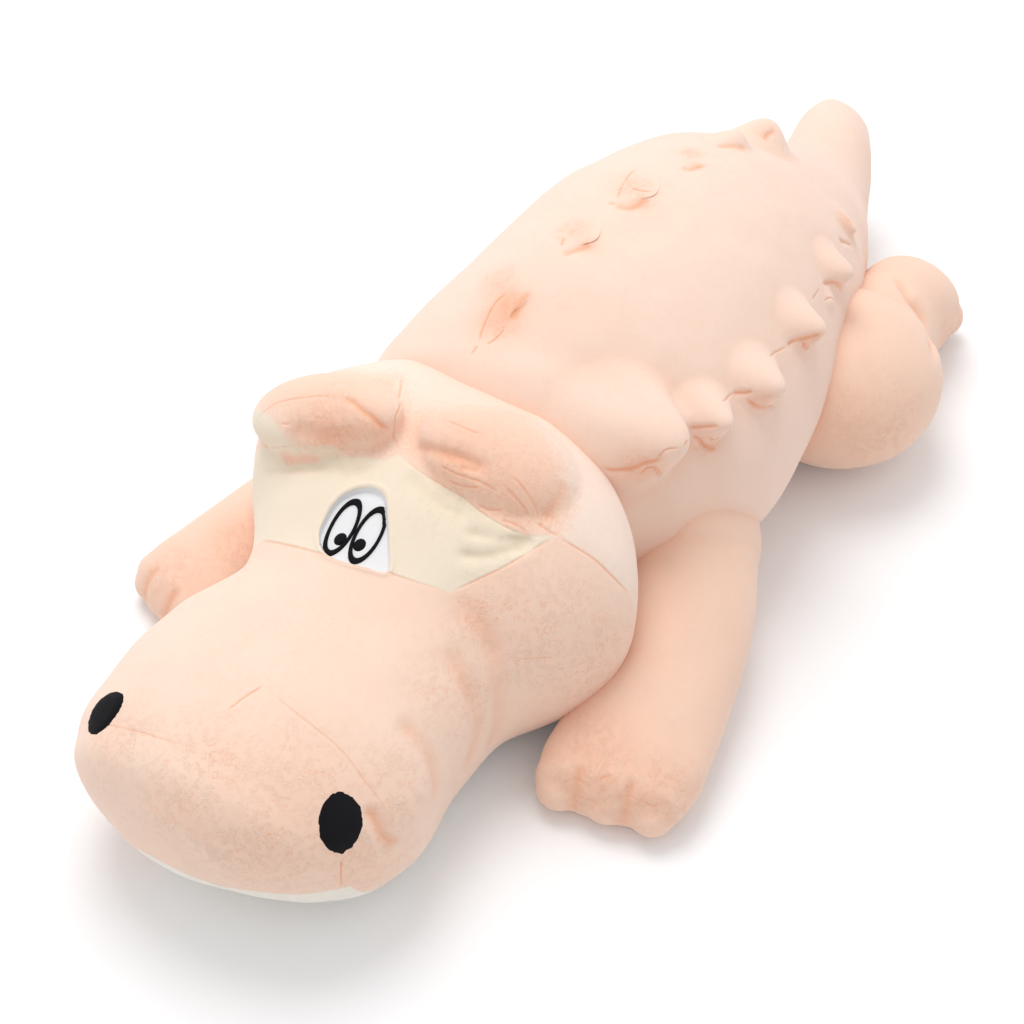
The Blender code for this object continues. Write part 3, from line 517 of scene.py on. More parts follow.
# Head. A second stuffed tube of the same plush, flat along the snout and broad at the nose.
# Its crown is a lighter panel, and it is sewn to the body all round the neck.
HEAD_LENGTH = 0.372
HEAD_WIDTH = 0.340
HEAD_HEIGHT = 0.216
HEAD_REAR = -0.127
HEAD_PIVOT = Vector((neck.x - 0.012, neck.y - 0.005, 0.0))
HEAD_PIVOT_REAR = -0.120
HEAD_VOXEL = 0.0024
HEAD_EASE_ROUNDS = 10
HEAD_SWELL = 0.0022
HEAD_SEED = 7.0
# Stations: place along, sideways shift, lift of the lowest point, half width, rise and drop
# from the middle, roundness above and below it, and lean
HEAD_STATION_SHARES = (
    (-0.130, 0.020, 0.220, 0.150, 0.200, 0.220, 2.1, 2.1, 0.36),
    (-0.095, 0.024, 0.150, 0.270, 0.340, 0.330, 2.1, 2.1, 0.36),
    (-0.055, 0.030, 0.090, 0.370, 0.440, 0.420, 2.2, 2.1, 0.36),
    (0.000, 0.037, 0.045, 0.457, 0.485, 0.465, 2.3, 2.2, 0.35),
    (0.065, 0.042, 0.024, 0.506, 0.500, 0.480, 2.4, 2.2, 0.30),
    (0.140, 0.069, 0.010, 0.504, 0.500, 0.470, 2.4, 2.3, 0.22),
    (0.230, 0.086, 0.004, 0.449, 0.480, 0.440, 2.3, 2.6, 0.12),
    (0.370, 0.062, -0.002, 0.360, 0.420, 0.390, 2.2, 2.9, 0.02),
    (0.540, 0.008, -0.002, 0.384, 0.385, 0.385, 2.3, 3.0, 0.0),
    (0.740, 0.002, -0.002, 0.398, 0.376, 0.385, 2.2, 2.8, 0.0),
    (0.870, -0.016, 0.072, 0.350, 0.316, 0.336, 2.1, 2.6, 0.0),
    (0.950, -0.028, 0.186, 0.260, 0.226, 0.252, 2.0, 2.3, 0.0),
    (0.992, -0.034, 0.268, 0.136, 0.150, 0.140, 2.0, 2.0, 0.0),
)
head_placing = (Matrix.Translation(HEAD_PIVOT) @ Matrix.Rotation(HEAD_YAW, 4, "Z")
                @ Matrix.Translation((0.0, -HEAD_PIVOT_REAR, 0.0)))

head_shape = bmesh.new()
head_rings = []
for (along, sideways, lift, half_width, up, down, top_round, low_round,
     lean) in stations(HEAD_STATION_SHARES):
    pairs = section(half_width * HEAD_WIDTH, up * HEAD_HEIGHT, down * HEAD_HEIGHT,
                    top_round, low_round)
    middle = (lift + down) * HEAD_HEIGHT
    ring = []
    for across, rise in pairs:
        slant = lean * (middle + rise - neck.z)
        ring.append(head_placing @ Vector((sideways * HEAD_WIDTH + across,
                                           HEAD_REAR - along * HEAD_LENGTH + slant,
                                           middle + rise)))
    head_rings.append(ring)
loft(head_shape, head_rings)

# Brows. Two ovals of the same plush, stuffed and sewn over the crown. Their stuffing has
# settled unevenly, so the left one stands larger and the right one droops more.
BROW_SPACING = 0.146
FACE_SHIFT = -0.008
# Each brow: side, length, depth, height, setback, rise above the crown, droop of the outer end
BROW_SIZES = ((1.0, 0.140, 0.090, 0.076, 0.019, 0.021, math.radians(17.0)),
              (-1.0, 0.146, 0.080, 0.064, 0.033, 0.010, math.radians(26.0)))
for side, length, depth, height, setback, rise, droop in BROW_SIZES:
    centre = head_placing @ Vector((FACE_SHIFT + side * BROW_SPACING / 2,
                                    HEAD_REAR - setback, HEAD_HEIGHT + rise - height / 2))
    turn = Matrix.Rotation(HEAD_YAW, 3, "Z") @ Matrix.Rotation(side * droop, 3, "Y")
    lump(head_shape, centre, (length / 2, depth / 2, height / 2), turn)

head_skin = sewn_skin("head_skin", head_shape, HEAD_VOXEL, HEAD_EASE_ROUNDS)
stuff_unevenly(head_skin, HEAD_SWELL, HEAD_SEED)

# Seams between the head's panels, then the folds and wrinkles that the stuffing leaves
HEAD_SEAM = (0.0007, 0.0008, 0.2, 0.3)
SNOUT_SEAM = (0.0007, 0.0004, 0.2, 0.3)
CHEEK_SEAM_LINE = (0.00084, 0.0012, 0.3, 0.2)
BROW_FOLD = (0.00208, 0.00156, 0.2, 0.1)
BROW_WRINKLE = (0.00084, 0.00056, 0.3, 0.0)
CHEEK_WRINKLE = (0.00084, 0.00032, 0.3, 0.0)
CREAM_LOW_SEAM = ((249, 470), (251, 514), (257, 542), (279, 543), (318, 553), (351, 565),
                  (388, 573), (419, 583), (449, 593))
CREAM_SIDE_SEAM = ((449, 593), (477, 580), (504, 567), (532, 550), (556, 536))
BROW_RIGHT_SEAM = ((251, 449), (260, 446), (285, 447), (312, 451), (340, 454), (362, 457),
                   (386, 460))
BROW_LEFT_SEAM = ((398, 454), (405, 460), (422, 473), (444, 487), (463, 498), (485, 515),
                  (507, 528), (529, 536), (556, 536))
CHEEK_SEAM = ((449, 593), (466, 610), (477, 622), (487, 638), (494, 658), (499, 684),
              (501, 710), (497, 732), (487, 755))
CROWN_SEAM = ((556, 536), (575, 547), (595, 560), (614, 578), (630, 596))
HEAD_SEAMS = (
    CREAM_LOW_SEAM[2:], CREAM_SIDE_SEAM, BROW_RIGHT_SEAM, BROW_LEFT_SEAM, CROWN_SEAM,
    ((403, 372), (400, 392), (397, 414), (394, 432), (398, 446), (398, 454)),
    ((264, 685), (242, 699), (226, 712)), ((342, 857), (341, 872), (341, 888)),
)
SNOUT_SEAMS = (
    ((264, 685), (286, 705), (315, 728), (341, 750), (363, 779), (382, 804), (390, 824)),
    ((98, 722), (118, 727), (140, 732), (165, 740), (188, 745)),
    ((471, 705), (474, 730), (470, 748)), ((484, 660), (488, 676), (494, 692)),
)
BROW_FOLDS = (
    ((340, 396), (352, 401), (362, 410), (372, 417), (380, 425), (392, 431)),
    ((300, 428), (312, 432), (326, 434), (342, 436), (358, 438), (372, 440)),
    ((322, 440), (336, 443), (350, 441), (366, 442)),
    ((412, 449), (424, 448), (436, 451), (450, 455), (468, 458)),
    ((458, 466), (470, 468), (482, 470)),
)
BROW_WRINKLES = (
    ((508, 474), (520, 484), (530, 498), (537, 511), (540, 526)),
    ((504, 486), (514, 496), (524, 508), (530, 519)),
    ((536, 522), (546, 529), (558, 537)),
    ((256, 426), (264, 412), (280, 402), (300, 398), (322, 396), (342, 398)),
    ((446, 420), (460, 426), (474, 432), (484, 434)), ((446, 480), (462, 486), (482, 488)),
    ((462, 476), (480, 482), (498, 492)), ((478, 505), (490, 510), (504, 510)),
    ((296, 416), (314, 418), (334, 420)), ((280, 424), (290, 424), (300, 420)),
    ((300, 448), (318, 446), (340, 450)), ((500, 520), (514, 524), (528, 532)),
    ((256, 432), (258, 438), (262, 442)), ((440, 466), (456, 474), (468, 478)),
)
CHEEK_WRINKLES = (
    ((514, 658), (526, 659), (540, 658), (556, 657)), ((627, 628), (631, 644), (634, 661)),
    ((470, 600), (478, 604), (486, 603)), ((476, 614), (483, 615), (490, 618)),
)
# Wide hollows, each with its own shape: pixels, width, depth, lip and pucker
HOLLOW_LINES = (
    (((284, 430), (310, 436), (340, 440), (372, 436)), 0.0090, 0.0050, 0.1, 0.0),
    (((404, 472), (425, 492), (447, 508), (475, 522)), 0.0050, 0.0020, 0.0, 0.0),
    (((275, 462), (290, 464), (320, 467), (350, 469), (380, 470)), 0.0050, 0.0020, 0.0, 0.0),
    (((262, 472), (285, 469), (310, 466), (335, 464)), 0.0030, 0.0016, 0.4, 0.0),
    (((412, 448), (436, 452), (466, 460), (496, 474)), 0.0044, 0.0034, 0.2, 0.0),
    (((452, 552), (480, 556), (508, 550), (536, 541)), 0.0040, 0.0036, 0.3, 0.0),
    (((460, 530), (486, 536), (510, 540), (540, 541)), 0.0040, 0.0026, 0.3, 0.0),
    (((542, 522), (552, 508), (562, 492), (566, 480)), 0.0050, 0.0018, 0.0, 0.0),
    (CHEEK_SEAM, 0.0070, 0.0040, 0.2, 0.0),
    (((364, 804), (376, 820), (384, 836), (398, 846)), 0.0040, 0.0030, 0.4, 0.0),
    (((392, 716), (414, 734), (430, 756), (437, 784), (432, 812)), 0.0070, 0.0030, 0.3, 0.0),
    (((440, 640), (470, 690), (478, 740), (462, 780)), 0.0080, 0.0030, 0.3, 0.0),
)
press_lines(head_skin, [*HOLLOW_LINES] + alike(BROW_FOLDS, BROW_FOLD)
            + alike(HEAD_SEAMS, HEAD_SEAM) + alike(SNOUT_SEAMS, SNOUT_SEAM)
            + alike((CHEEK_SEAM,), CHEEK_SEAM_LINE) + alike(BROW_WRINKLES, BROW_WRINKLE)
            + alike(CHEEK_WRINKLES, CHEEK_WRINKLE))
laid_on_floor(head_skin)

# Legs. Each is a sewn bag of plush with a round root let into the body's side, and a limb
# that ends in blunt toes, drawn in by a few stitches between them.
LIMB_RINGS = 40
LIMB_SIDES = 48
LIMB_TOP_ROUND = 2.1
LIMB_LOW_ROUND = 2.5
LEG_VOXEL = 0.0030
LEG_EASE_ROUNDS = 6
LEG_SWELL = 0.0024
# Stations: place along, half width, height and lift, each a share of the leg's own size
FRONT_LIMB_SHARES = (
    (0.00, 0.460, 1.28, 0.02), (0.25, 0.490, 1.14, 0.00), (0.50, 0.485, 0.94, 0.00),
    (0.75, 0.500, 0.74, 0.00), (0.90, 0.490, 0.60, 0.00), (0.97, 0.410, 0.44, 0.04),
    (1.00, 0.220, 0.20, 0.12),
)
HIND_LIMB_SHARES = (
    (0.00, 0.500, 1.05, 0.02), (0.40, 0.520, 1.02, 0.00), (0.60, 0.460, 0.93, 0.00),
    (0.80, 0.440, 0.83, 0.00), (0.92, 0.390, 0.69, 0.00), (0.98, 0.280, 0.44, 0.06),
    (1.00, 0.150, 0.20, 0.14),
)
# Each leg: heading in degrees, length, width and height, the root's radius and height, bow
LEG_SIZES = {
    "front_leg_left": (-67.0, 0.243, 0.122, 0.096, 0.056, 0.134, 0.012),
    "front_leg_right": (-98.5, 0.268, 0.092, 0.086, 0.050, 0.092, 0.0),
    "hind_leg_left": (100.0, 0.181, 0.102, 0.118, 0.088, 0.146, 0.0),
    "hind_leg_right": (86.0, 0.168, 0.090, 0.084, 0.079, 0.120, 0.0),
}
TOE_SPREAD_SHARES = (-0.30, 0.02, 0.31)
TOE_PLACE_SHARE = 0.95
TOE_LIFT_SHARE = 0.20
TOE_WIDTH_SHARE = 0.14
TOE_HEIGHT_SHARE = 0.17
TOE_CREASE_SPREAD_SHARES = (-0.17, 0.16)
# Each place on a crease between toes: how far out along the leg and how high
TOE_CREASE_SHARES = ((0.93, 0.6), (0.98, 0.4), (1.01, 0.22), (1.02, 0.08))
TOE_CREASE = (0.0036, 0.0020, 0.3, 0.0)
TOE_REFINE_REACHES = (0.007,)
leg_skins = {}
for joint in frame["joints"]:
    leg_name = joint["name"].replace("_swing", "")
    if leg_name not in LEG_SIZES:
        continue
    heading, length, width, height, root_radius, root_height, bow = LEG_SIZES[leg_name]
    axis = Vector(joint["pos_m"])
    out = Vector((math.cos(math.radians(heading)), math.sin(math.radians(heading)), 0.0))
    side = Vector((-out.y, out.x, 0.0))
    leg_shape = bmesh.new()
    lump(leg_shape, axis + Vector((0.0, 0.0, root_height / 2)),
         (root_radius, root_radius, root_height / 2))
    shares = FRONT_LIMB_SHARES if leg_name.startswith("front") else HIND_LIMB_SHARES
    rings = []
    for along, half_width, tall, lift in stations(shares, LIMB_RINGS):
        half_height = tall * height / 2
        place = axis + out * along * length + side * bow * math.sin(math.pi * along)
        ring = [place + side * across + Vector((0.0, 0.0, lift * height + half_height + rise))
                for across, rise in section(half_width * width, half_height, half_height,
                                            LIMB_TOP_ROUND, LIMB_LOW_ROUND, LIMB_SIDES)]
        rings.append(ring)
    loft(leg_shape, rings)
    for toe in TOE_SPREAD_SHARES:
        lump(leg_shape, axis + out * length * TOE_PLACE_SHARE + side * width * toe
             + Vector((0.0, 0.0, height * TOE_LIFT_SHARE)),
             (width * TOE_WIDTH_SHARE, width * TOE_WIDTH_SHARE, height * TOE_HEIGHT_SHARE))
    leg_skin = sewn_skin(leg_name + "_skin", leg_shape, LEG_VOXEL, LEG_EASE_ROUNDS)
    stuff_unevenly(leg_skin, LEG_SWELL, heading)
    tree = tree_of(leg_skin)
    lines = []
    for crease in TOE_CREASE_SPREAD_SHARES:
        places = [tree.find_nearest(axis + out * length * share + side * width * crease
                                    + Vector((0.0, 0.0, height * tall)))[0]
                  for share, tall in TOE_CREASE_SHARES]
        lines.append(drawn_on(tree, places))
    refine_near(leg_skin, lines, TOE_REFINE_REACHES)
    for line in lines:
        press_line(leg_skin, line, *TOE_CREASE)
    leg_skins[leg_name] = leg_skin

# The cloth gathers in small wrinkles over the front toes, and the hind leg is folded at the knee
TOE_WRINKLE = (0.00098, 0.00032, 0.4, 0.0)
KNEE_FOLD = (0.0050, 0.0060, 0.2, 0.0)
KNEE_FOLD_LINE = ((893, 274), (909, 296), (925, 323), (934, 350), (937, 372))
FRONT_TOE_WRINKLES = (
    ((560, 782), (576, 780), (592, 788)), ((596, 782), (604, 778), (612, 776)),
    ((614, 798), (628, 796), (640, 800)), ((630, 808), (640, 802), (650, 790)),
    ((640, 800), (652, 806), (662, 804)), ((572, 796), (590, 800), (604, 808)),
)
press_lines(leg_skins["front_leg_left"], alike(FRONT_TOE_WRINKLES, TOE_WRINKLE))
press_lines(leg_skins["hind_leg_left"], alike((KNEE_FOLD_LINE,), KNEE_FOLD))
for leg_skin in leg_skins.values():
    laid_on_floor(leg_skin)

# Eye window. The cream panel has a rounded window, and a patch of flat white felt is sewn
# behind it, so that the panel's cut edge stands proud of the felt.
WINDOW_DEPTH = 0.0050
WINDOW_BEVEL = 0.0014
WINDOW_BEVEL_START = 0.0002
WINDOW_LIP_RISE = 0.0012
WINDOW_LIP_PLACE = 0.0022
WINDOW_LIP_WIDTH = 0.0018
WINDOW_REFINE_REACHES = (0.0060, 0.0040)
WINDOW_EDGE = ((319, 534), (325, 518), (334, 503), (347, 492), (364, 487), (379, 490),
               (386, 499), (388, 520), (389, 546), (388, 571), (368, 568), (344, 562),
               (324, 552))
head_plan = head_placing.inverted()
head_tree = tree_of(head_skin)


def plan_outline(pixels):
    """An outline in the head's own frame, through pixels seen on the skin."""
    return [head_plan @ place for place in seen_at(head_tree, pixels)]


def outline_distance(plan, outline):
    """Signed distance of each plan point from a closed outline, positive inside it."""
    corners = np.array([(corner[0], corner[1]) for corner in outline])
    inside = np.zeros(len(plan), dtype=bool)
    best = np.full(len(plan), np.inf)
    for start, end in zip(corners, np.roll(corners, -1, axis=0)):
        span = end - start
        offset = plan[:, :2] - start
        t = np.clip(offset @ span / max(span @ span, 1e-12), 0.0, 1.0)
        best = np.minimum(best, np.linalg.norm(offset - t[:, None] * span, axis=1))
        crosses = (plan[:, 1] < end[1]) != (plan[:, 1] < start[1])
        slope = span[0] / (span[1] if abs(span[1]) > 1e-12 else 1e-12)
        inside ^= crosses & (plan[:, 0] < start[0] + (plan[:, 1] - start[1]) * slope)
    return np.where(inside, best, -best)


def rounded(outline, count=4):
    """A closed outline drawn through its corners on a smooth curve."""
    corners = [Vector(corner[:2]) for corner in outline]
    curve = []
    for index, start in enumerate(corners):
        before, end, after = (corners[index - 1], corners[(index + 1) % len(corners)],
                              corners[(index + 2) % len(corners)])
        curve += [on_curve(before, start, end, after, step / count) for step in range(count)]
    return curve


def in_plan(piece):
    """A piece's vertices in the head's own frame."""
    return points_of(piece) @ np.array(head_plan.to_3x3()).T + np.array(head_plan.translation)


window_outline = rounded(plan_outline(WINDOW_EDGE))
window_middle = sum(window_outline, Vector((0.0, 0.0))) / len(window_outline)
window_edge_line = drawn_on(head_tree, seen_at(head_tree, WINDOW_EDGE + WINDOW_EDGE[:1]))
refine_near(head_skin, [window_edge_line], WINDOW_REFINE_REACHES)
head_plan_points = in_plan(head_skin)
high_enough = head_plan_points[:, 2] > HEAD_HEIGHT / 2
window_gap = np.where(high_enough, outline_distance(head_plan_points, window_outline), -1.0)
sunk = np.clip((window_gap + WINDOW_BEVEL_START) / WINDOW_BEVEL, 0.0, 1.0)
lip = np.exp(-((window_gap + WINDOW_LIP_PLACE) / WINDOW_LIP_WIDTH) ** 2)
points = points_of(head_skin)
points[:, 2] += lip * WINDOW_LIP_RISE - sunk * sunk * (3 - 2 * sunk) * WINDOW_DEPTH
set_points(head_skin, points)

# Panels. The colour of the cloth changes at the sewn outlines, which are kept here as
# distances from each outline, so that the pile of one panel laps over the next. Corners that
# the camera can't see are given in the head's own frame, behind its rear edge.
GAP_REACH = 0.020
SIDE_REACH = 0.260
SNOUT_SETBACK = 0.125
CHEEK_SETBACK = 0.020
BELLY_PANEL_TOP = 0.010
CREAM_TOP_SEAM = tuple(reversed(BROW_RIGHT_SEAM + BROW_LEFT_SEAM))
seam_ends = plan_outline((BROW_RIGHT_SEAM[0], CREAM_LOW_SEAM[2]))
far_end = [Vector((-0.200, seam_end.y - 0.004, 0.0)) for seam_end in seam_ends]
cream_outline = (plan_outline(CREAM_LOW_SEAM[2:] + CREAM_SIDE_SEAM[1:] + CREAM_TOP_SEAM[1:])
                 + far_end)
side_end = [Vector((SIDE_REACH, HEAD_REAR - 0.130, 0.0)),
            Vector((SIDE_REACH, HEAD_REAR - CHEEK_SETBACK, 0.0))]
cheek_outline = (plan_outline(CROWN_SEAM[::-1] + CREAM_SIDE_SEAM[:-1][::-1] + CHEEK_SEAM)
                 + side_end)
snout_corner = plan_outline(CREAM_LOW_SEAM[2:3])[0]
far_cheek_outline = [snout_corner, Vector((-0.145, snout_corner.y - 0.050, 0.0)),
                     Vector((-0.150, HEAD_REAR - HEAD_LENGTH * 0.55, 0.0)),
                     Vector((-SIDE_REACH, HEAD_REAR - HEAD_LENGTH * 0.45, 0.0)),
                     Vector((-SIDE_REACH, HEAD_REAR - CHEEK_SETBACK, 0.0)),
                     Vector((-0.150, HEAD_REAR - 0.060, 0.0))]
brow_left_outline = plan_outline(BROW_LEFT_SEAM + (
    (568, 500), (566, 470), (552, 440), (524, 416), (490, 405), (455, 404), (424, 412),
    (404, 428)))
brow_right_outline = plan_outline(BROW_RIGHT_SEAM + (
    (396, 444), (397, 420), (400, 394), (396, 376), (360, 374))) + [
        Vector((-0.200, HEAD_REAR + 0.030, 0.0)), Vector((-0.200, HEAD_REAR - 0.085, 0.0))]
gaps = {gap_name: outline_distance(head_plan_points, outline) for gap_name, outline in (
    ("cream_gap", cream_outline), ("cheek_gap", cheek_outline),
    ("far_cheek_gap", far_cheek_outline), ("brow_left_gap", brow_left_outline),
    ("brow_right_gap", brow_right_outline))}
for gap_name in ("cream_gap", "brow_left_gap", "brow_right_gap"):
    gaps[gap_name] = np.where(high_enough, gaps[gap_name], -GAP_REACH)
under = ~high_enough & (head_plan_points[:, 0] < 0.0)
gaps["far_cheek_gap"] = np.where(under, HEAD_REAR - CHEEK_SETBACK - head_plan_points[:, 1],
                                 gaps["far_cheek_gap"])
gaps["snout_gap"] = HEAD_REAR - SNOUT_SETBACK - head_plan_points[:, 1]
gaps["window_gap"] = window_gap

# The chin's pale panel shows as a thin strip under the nose, and drops away past its corners
CHIN_SEAM = ((136, 848), (160, 861), (188, 875), (213, 884), (251, 891), (283, 894),
             (320, 892), (350, 886))
CHIN_FAR_REACH = 0.012
CHIN_NEAR_REACH = 0.024
CHIN_DROP = -0.020
chin_line = plan_outline(CHIN_SEAM)
chin_x = [chin_line[0].x - CHIN_FAR_REACH, *(place.x for place in chin_line),
          chin_line[-1].x + CHIN_NEAR_REACH]
chin_z = [CHIN_DROP, *(place.z for place in chin_line), CHIN_DROP]
chin_rise = np.interp(head_plan_points[:, 0], chin_x, chin_z)
gaps["chin_gap"] = chin_rise - head_plan_points[:, 2]
for gap_name, gap in gaps.items():
    set_values(head_skin, gap_name, np.clip(gap, -GAP_REACH, GAP_REACH))
belly_gap = BELLY_PANEL_TOP - points_of(body_skin)[:, 2]
set_values(body_skin, "belly_gap", np.clip(belly_gap, -GAP_REACH, GAP_REACH))

# Painted shade and ruffled pile. Shade is painted in every hollow and where pieces press on
# each other, and the pile is ruffled where hands hold the toy: brows, cheeks, nose and toes.
# Each place: where it is seen, its reach, and how much painted shade it adds there
RUFFLED_AND_SHADED_PLACES = {
    "body_skin": (((640, 468), 0.022, 0.8), ((500, 318), 0.020, 1.0), ((510, 300), 0.014, 0.8),
                  ((710, 442), 0.014, 0.6), ((764, 402), 0.012, 0.6), ((812, 342), 0.012, 0.5),
                  ((588, 246), 0.010, 0.6), ((640, 202), 0.012, 0.6), ((697, 165), 0.009, 0.5),
                  ((846, 220), 0.012, 0.7), ((573, 230), 0.016, 0.30), ((632, 186), 0.018, 0.30),
                  ((692, 153), 0.012, 0.25), ((497, 284), 0.018, 0.25), ((762, 130), 0.014, 0.2)),
    "head_skin": (((540, 620), 0.070, 0.0), ((590, 660), 0.060, 0.0), ((470, 480), 0.050, 0.1),
                  ((520, 500), 0.045, 0.2), ((330, 430), 0.040, 0.35), ((330, 436), 0.016, 0.6),
                  ((372, 428), 0.014, 0.6), ((450, 466), 0.022, 0.6), ((180, 800), 0.060, 0.0),
                  ((260, 850), 0.070, 0.15), ((370, 860), 0.050, 0.1), ((460, 690), 0.045, 0.0),
                  ((120, 740), 0.040, 0.0), ((480, 620), 0.030, 0.3), ((400, 790), 0.045, 0.0),
                  ((300, 780), 0.050, 0.1), ((210, 770), 0.050, 0.1)),
    "front_leg_left_skin": (((600, 780), 0.050, 0.2), ((660, 800), 0.045, 0.2),
                            ((590, 740), 0.030, 0.3)),
    "hind_leg_left_skin": (((945, 340), 0.035, 0.2), ((880, 430), 0.050, 0.2)),
    "front_leg_right_skin": (((160, 580), 0.040, 0.2), ((235, 540), 0.030, 0.4)),
    "hind_leg_right_skin": (),
}
RUFFLED_EVERYWHERE = 0.25
HOLLOW_SHADE_ROUNDS = (3, 24)
HOLLOW_SHADE_DEPTH = 0.00022
HOLLOW_SHADE_MOST = 1.4
PRESS_REACH = 0.014
PRESS_FADE = 0.0045
PRESS_SHADE = 0.4
skins = [body_skin, head_skin, *leg_skins.values()]
skin_trees = {skin.name: tree_of(skin) for skin in skins}


def eased(values, ends, counts, rounds):
    """Values on vertices, averaged with their neighbours several times."""
    for step in range(rounds):
        total = np.zeros_like(values)
        np.add.at(total, ends[:, 0], values[ends[:, 1]])
        np.add.at(total, ends[:, 1], values[ends[:, 0]])
        values = 0.5 * values + 0.5 * total / counts
    return values


for skin in skins:
    points, normals = points_of(skin), normals_of(skin)
    ends = np.empty(len(skin.data.edges) * 2, dtype=np.int32)
    skin.data.edges.foreach_get("vertices", ends)
    ends = ends.reshape(-1, 2)
    counts = np.maximum(np.bincount(ends.ravel(), minlength=len(points)), 1)
    # Painted shade in hollows: how far each point lies below its neighbours' average, over two
    # spans
    hollow = np.zeros(len(points))
    for rounds in HOLLOW_SHADE_ROUNDS:
        drift = np.empty_like(points)
        for axis in range(3):
            drift[:, axis] = eased(points[:, axis], ends, counts, rounds)
        depth = np.sum((drift - points) * normals, axis=1)
        hollow += np.clip(depth / (HOLLOW_SHADE_DEPTH * rounds ** 0.8), -0.6, 1.0) * 0.5
    hollow = eased(hollow, ends, counts, 2)
    # Painted shade where this skin lies close against another one
    press_shade = np.zeros(len(points))
    for other_name, other in skin_trees.items():
        if other_name == skin.name:
            continue
        box = points_of(bpy.data.objects[other_name])
        close = np.all((points > box.min(0) - PRESS_REACH) & (points < box.max(0) + PRESS_REACH),
                       axis=1)
        for index in np.nonzero(close)[0]:
            point = Vector(points[index])
            place, normal, face, gap = other.find_nearest(point, PRESS_REACH)
            if place is not None:
                outside = gap if normal.dot(point - place) > 0 else -gap
                press_shade[index] = max(press_shade[index], math.exp(-max(outside, 0.0) / PRESS_FADE))
    set_values(skin, "fold", np.maximum(values_of(skin, "fold"), press_shade * PRESS_SHADE))
    ruffled = np.full(len(points), RUFFLED_EVERYWHERE)
    # Each listed place ruffles the pile and adds painted shade around it
    for pixel, reach, depth in RUFFLED_AND_SHADED_PLACES[skin.name]:
        for place in seen_at(skin_trees[skin.name], (pixel,)):
            share = np.exp(-(np.linalg.norm(points - np.array(place), axis=1) / reach) ** 2)
            ruffled = np.maximum(ruffled, share)
            hollow += share * depth
    set_values(skin, "ruffled", ruffled)
    set_values(skin, "hollow", np.minimum(hollow, HOLLOW_SHADE_MOST))

# Pile. The cloth is a short plush: fine wavy strands a few millimetres long, which part into
# thin darker lines where it is ruffled, over a knitted back. Every panel shares it.
STRAND_SIZE = 0.0028
TUFT_SIZE = 0.0012
PILE_RELIEF = 0.0010
STROKE_WIDTH = 0.034


def node(tree, kind, **values):
    """A new node, with its settings and its unlinked inputs filled in."""
    made = tree.nodes.new(kind)
    for name, value in values.items():
        if hasattr(made, name):
            setattr(made, name, value)
        else:
            made.inputs[name.replace("_", " ")].default_value = value
    return made


def maths(tree, operation, *values, clamp=False):
    """A math node that takes links or numbers."""
    made = tree.nodes.new("ShaderNodeMath")
    made.operation = operation
    made.use_clamp = clamp
    for socket, value in zip(made.inputs, values):
        if isinstance(value, (int, float)):
            socket.default_value = value
        else:
            tree.links.new(value, socket)
    return made.outputs[0]


def mixed(tree, factor, first, second):
    """A colour between two, each a link or a colour."""
    made = tree.nodes.new("ShaderNodeMix")
    made.data_type = "RGBA"
    for socket, value in ((made.inputs[0], factor), (made.inputs[6], first),
                          (made.inputs[7], second)):
        if isinstance(value, (int, float)):
            socket.default_value = value
        elif isinstance(value, tuple):
            socket.default_value = (*value, 1.0)
        else:
            tree.links.new(value, socket)
    return made.outputs[2]


def noise_at(tree, place, scale, detail=2.0, roughness=0.5):
    """A noise pattern's outputs at a place."""
    made = node(tree, "ShaderNodeTexNoise", Scale=scale, Detail=detail, Roughness=roughness)
    tree.links.new(place, made.inputs["Vector"])
    return made.outputs


def written(tree, name):
    """A value that was written on the skin's vertices."""
    return node(tree, "ShaderNodeAttribute", attribute_name=name).outputs["Fac"]


# The group also takes the painted shade kept on each skin, in its hollows and along its creases.
pile = bpy.data.node_groups.new("plush_pile", "ShaderNodeTree")
for socket_name, kind, value in (("Colour", "NodeSocketColor", (0.8, 0.6, 0.5, 1.0)),
                                 ("Deep colour", "NodeSocketColor", (0.7, 0.4, 0.3, 1.0)),
                                 ("Ruffled", "NodeSocketFloat", 0.3),
                                 ("Hollow", "NodeSocketFloat", 0.0),
                                 ("Fold", "NodeSocketFloat", 0.0)):
    pile.interface.new_socket(socket_name, in_out="INPUT", socket_type=kind).default_value = value
pile.interface.new_socket("Colour", in_out="OUTPUT", socket_type="NodeSocketColor")
pile.interface.new_socket("Height", in_out="OUTPUT", socket_type="NodeSocketFloat")
entry = pile.nodes.new("NodeGroupInput")
leave = pile.nodes.new("NodeGroupOutput")
place = node(pile, "ShaderNodeTexCoord").outputs["Object"]
# The strands lie over one another in drifts, so the pattern is bent by a slower one
drift = node(pile, "ShaderNodeVectorMath", operation="MULTIPLY_ADD")
pile.links.new(noise_at(pile, place, 26.0, 2.0)["Color"], drift.inputs[0])
drift.inputs[1].default_value = (0.045, 0.045, 0.045)
pile.links.new(place, drift.inputs[2])
laid = node(pile, "ShaderNodeVectorMath", operation="MULTIPLY")
pile.links.new(drift.outputs[0], laid.inputs[0])
laid.inputs[1].default_value = (1.0, 0.42, 0.80)
strands = node(pile, "ShaderNodeTexNoise", Scale=1.0 / STRAND_SIZE, Detail=1.0,
               Roughness=0.5, Distortion=1.2)
pile.links.new(laid.outputs[0], strands.inputs["Vector"])
strands = strands.outputs["Fac"]
broken = noise_at(pile, place, 1.0 / (STRAND_SIZE * 2.2), 1.0)["Fac"]


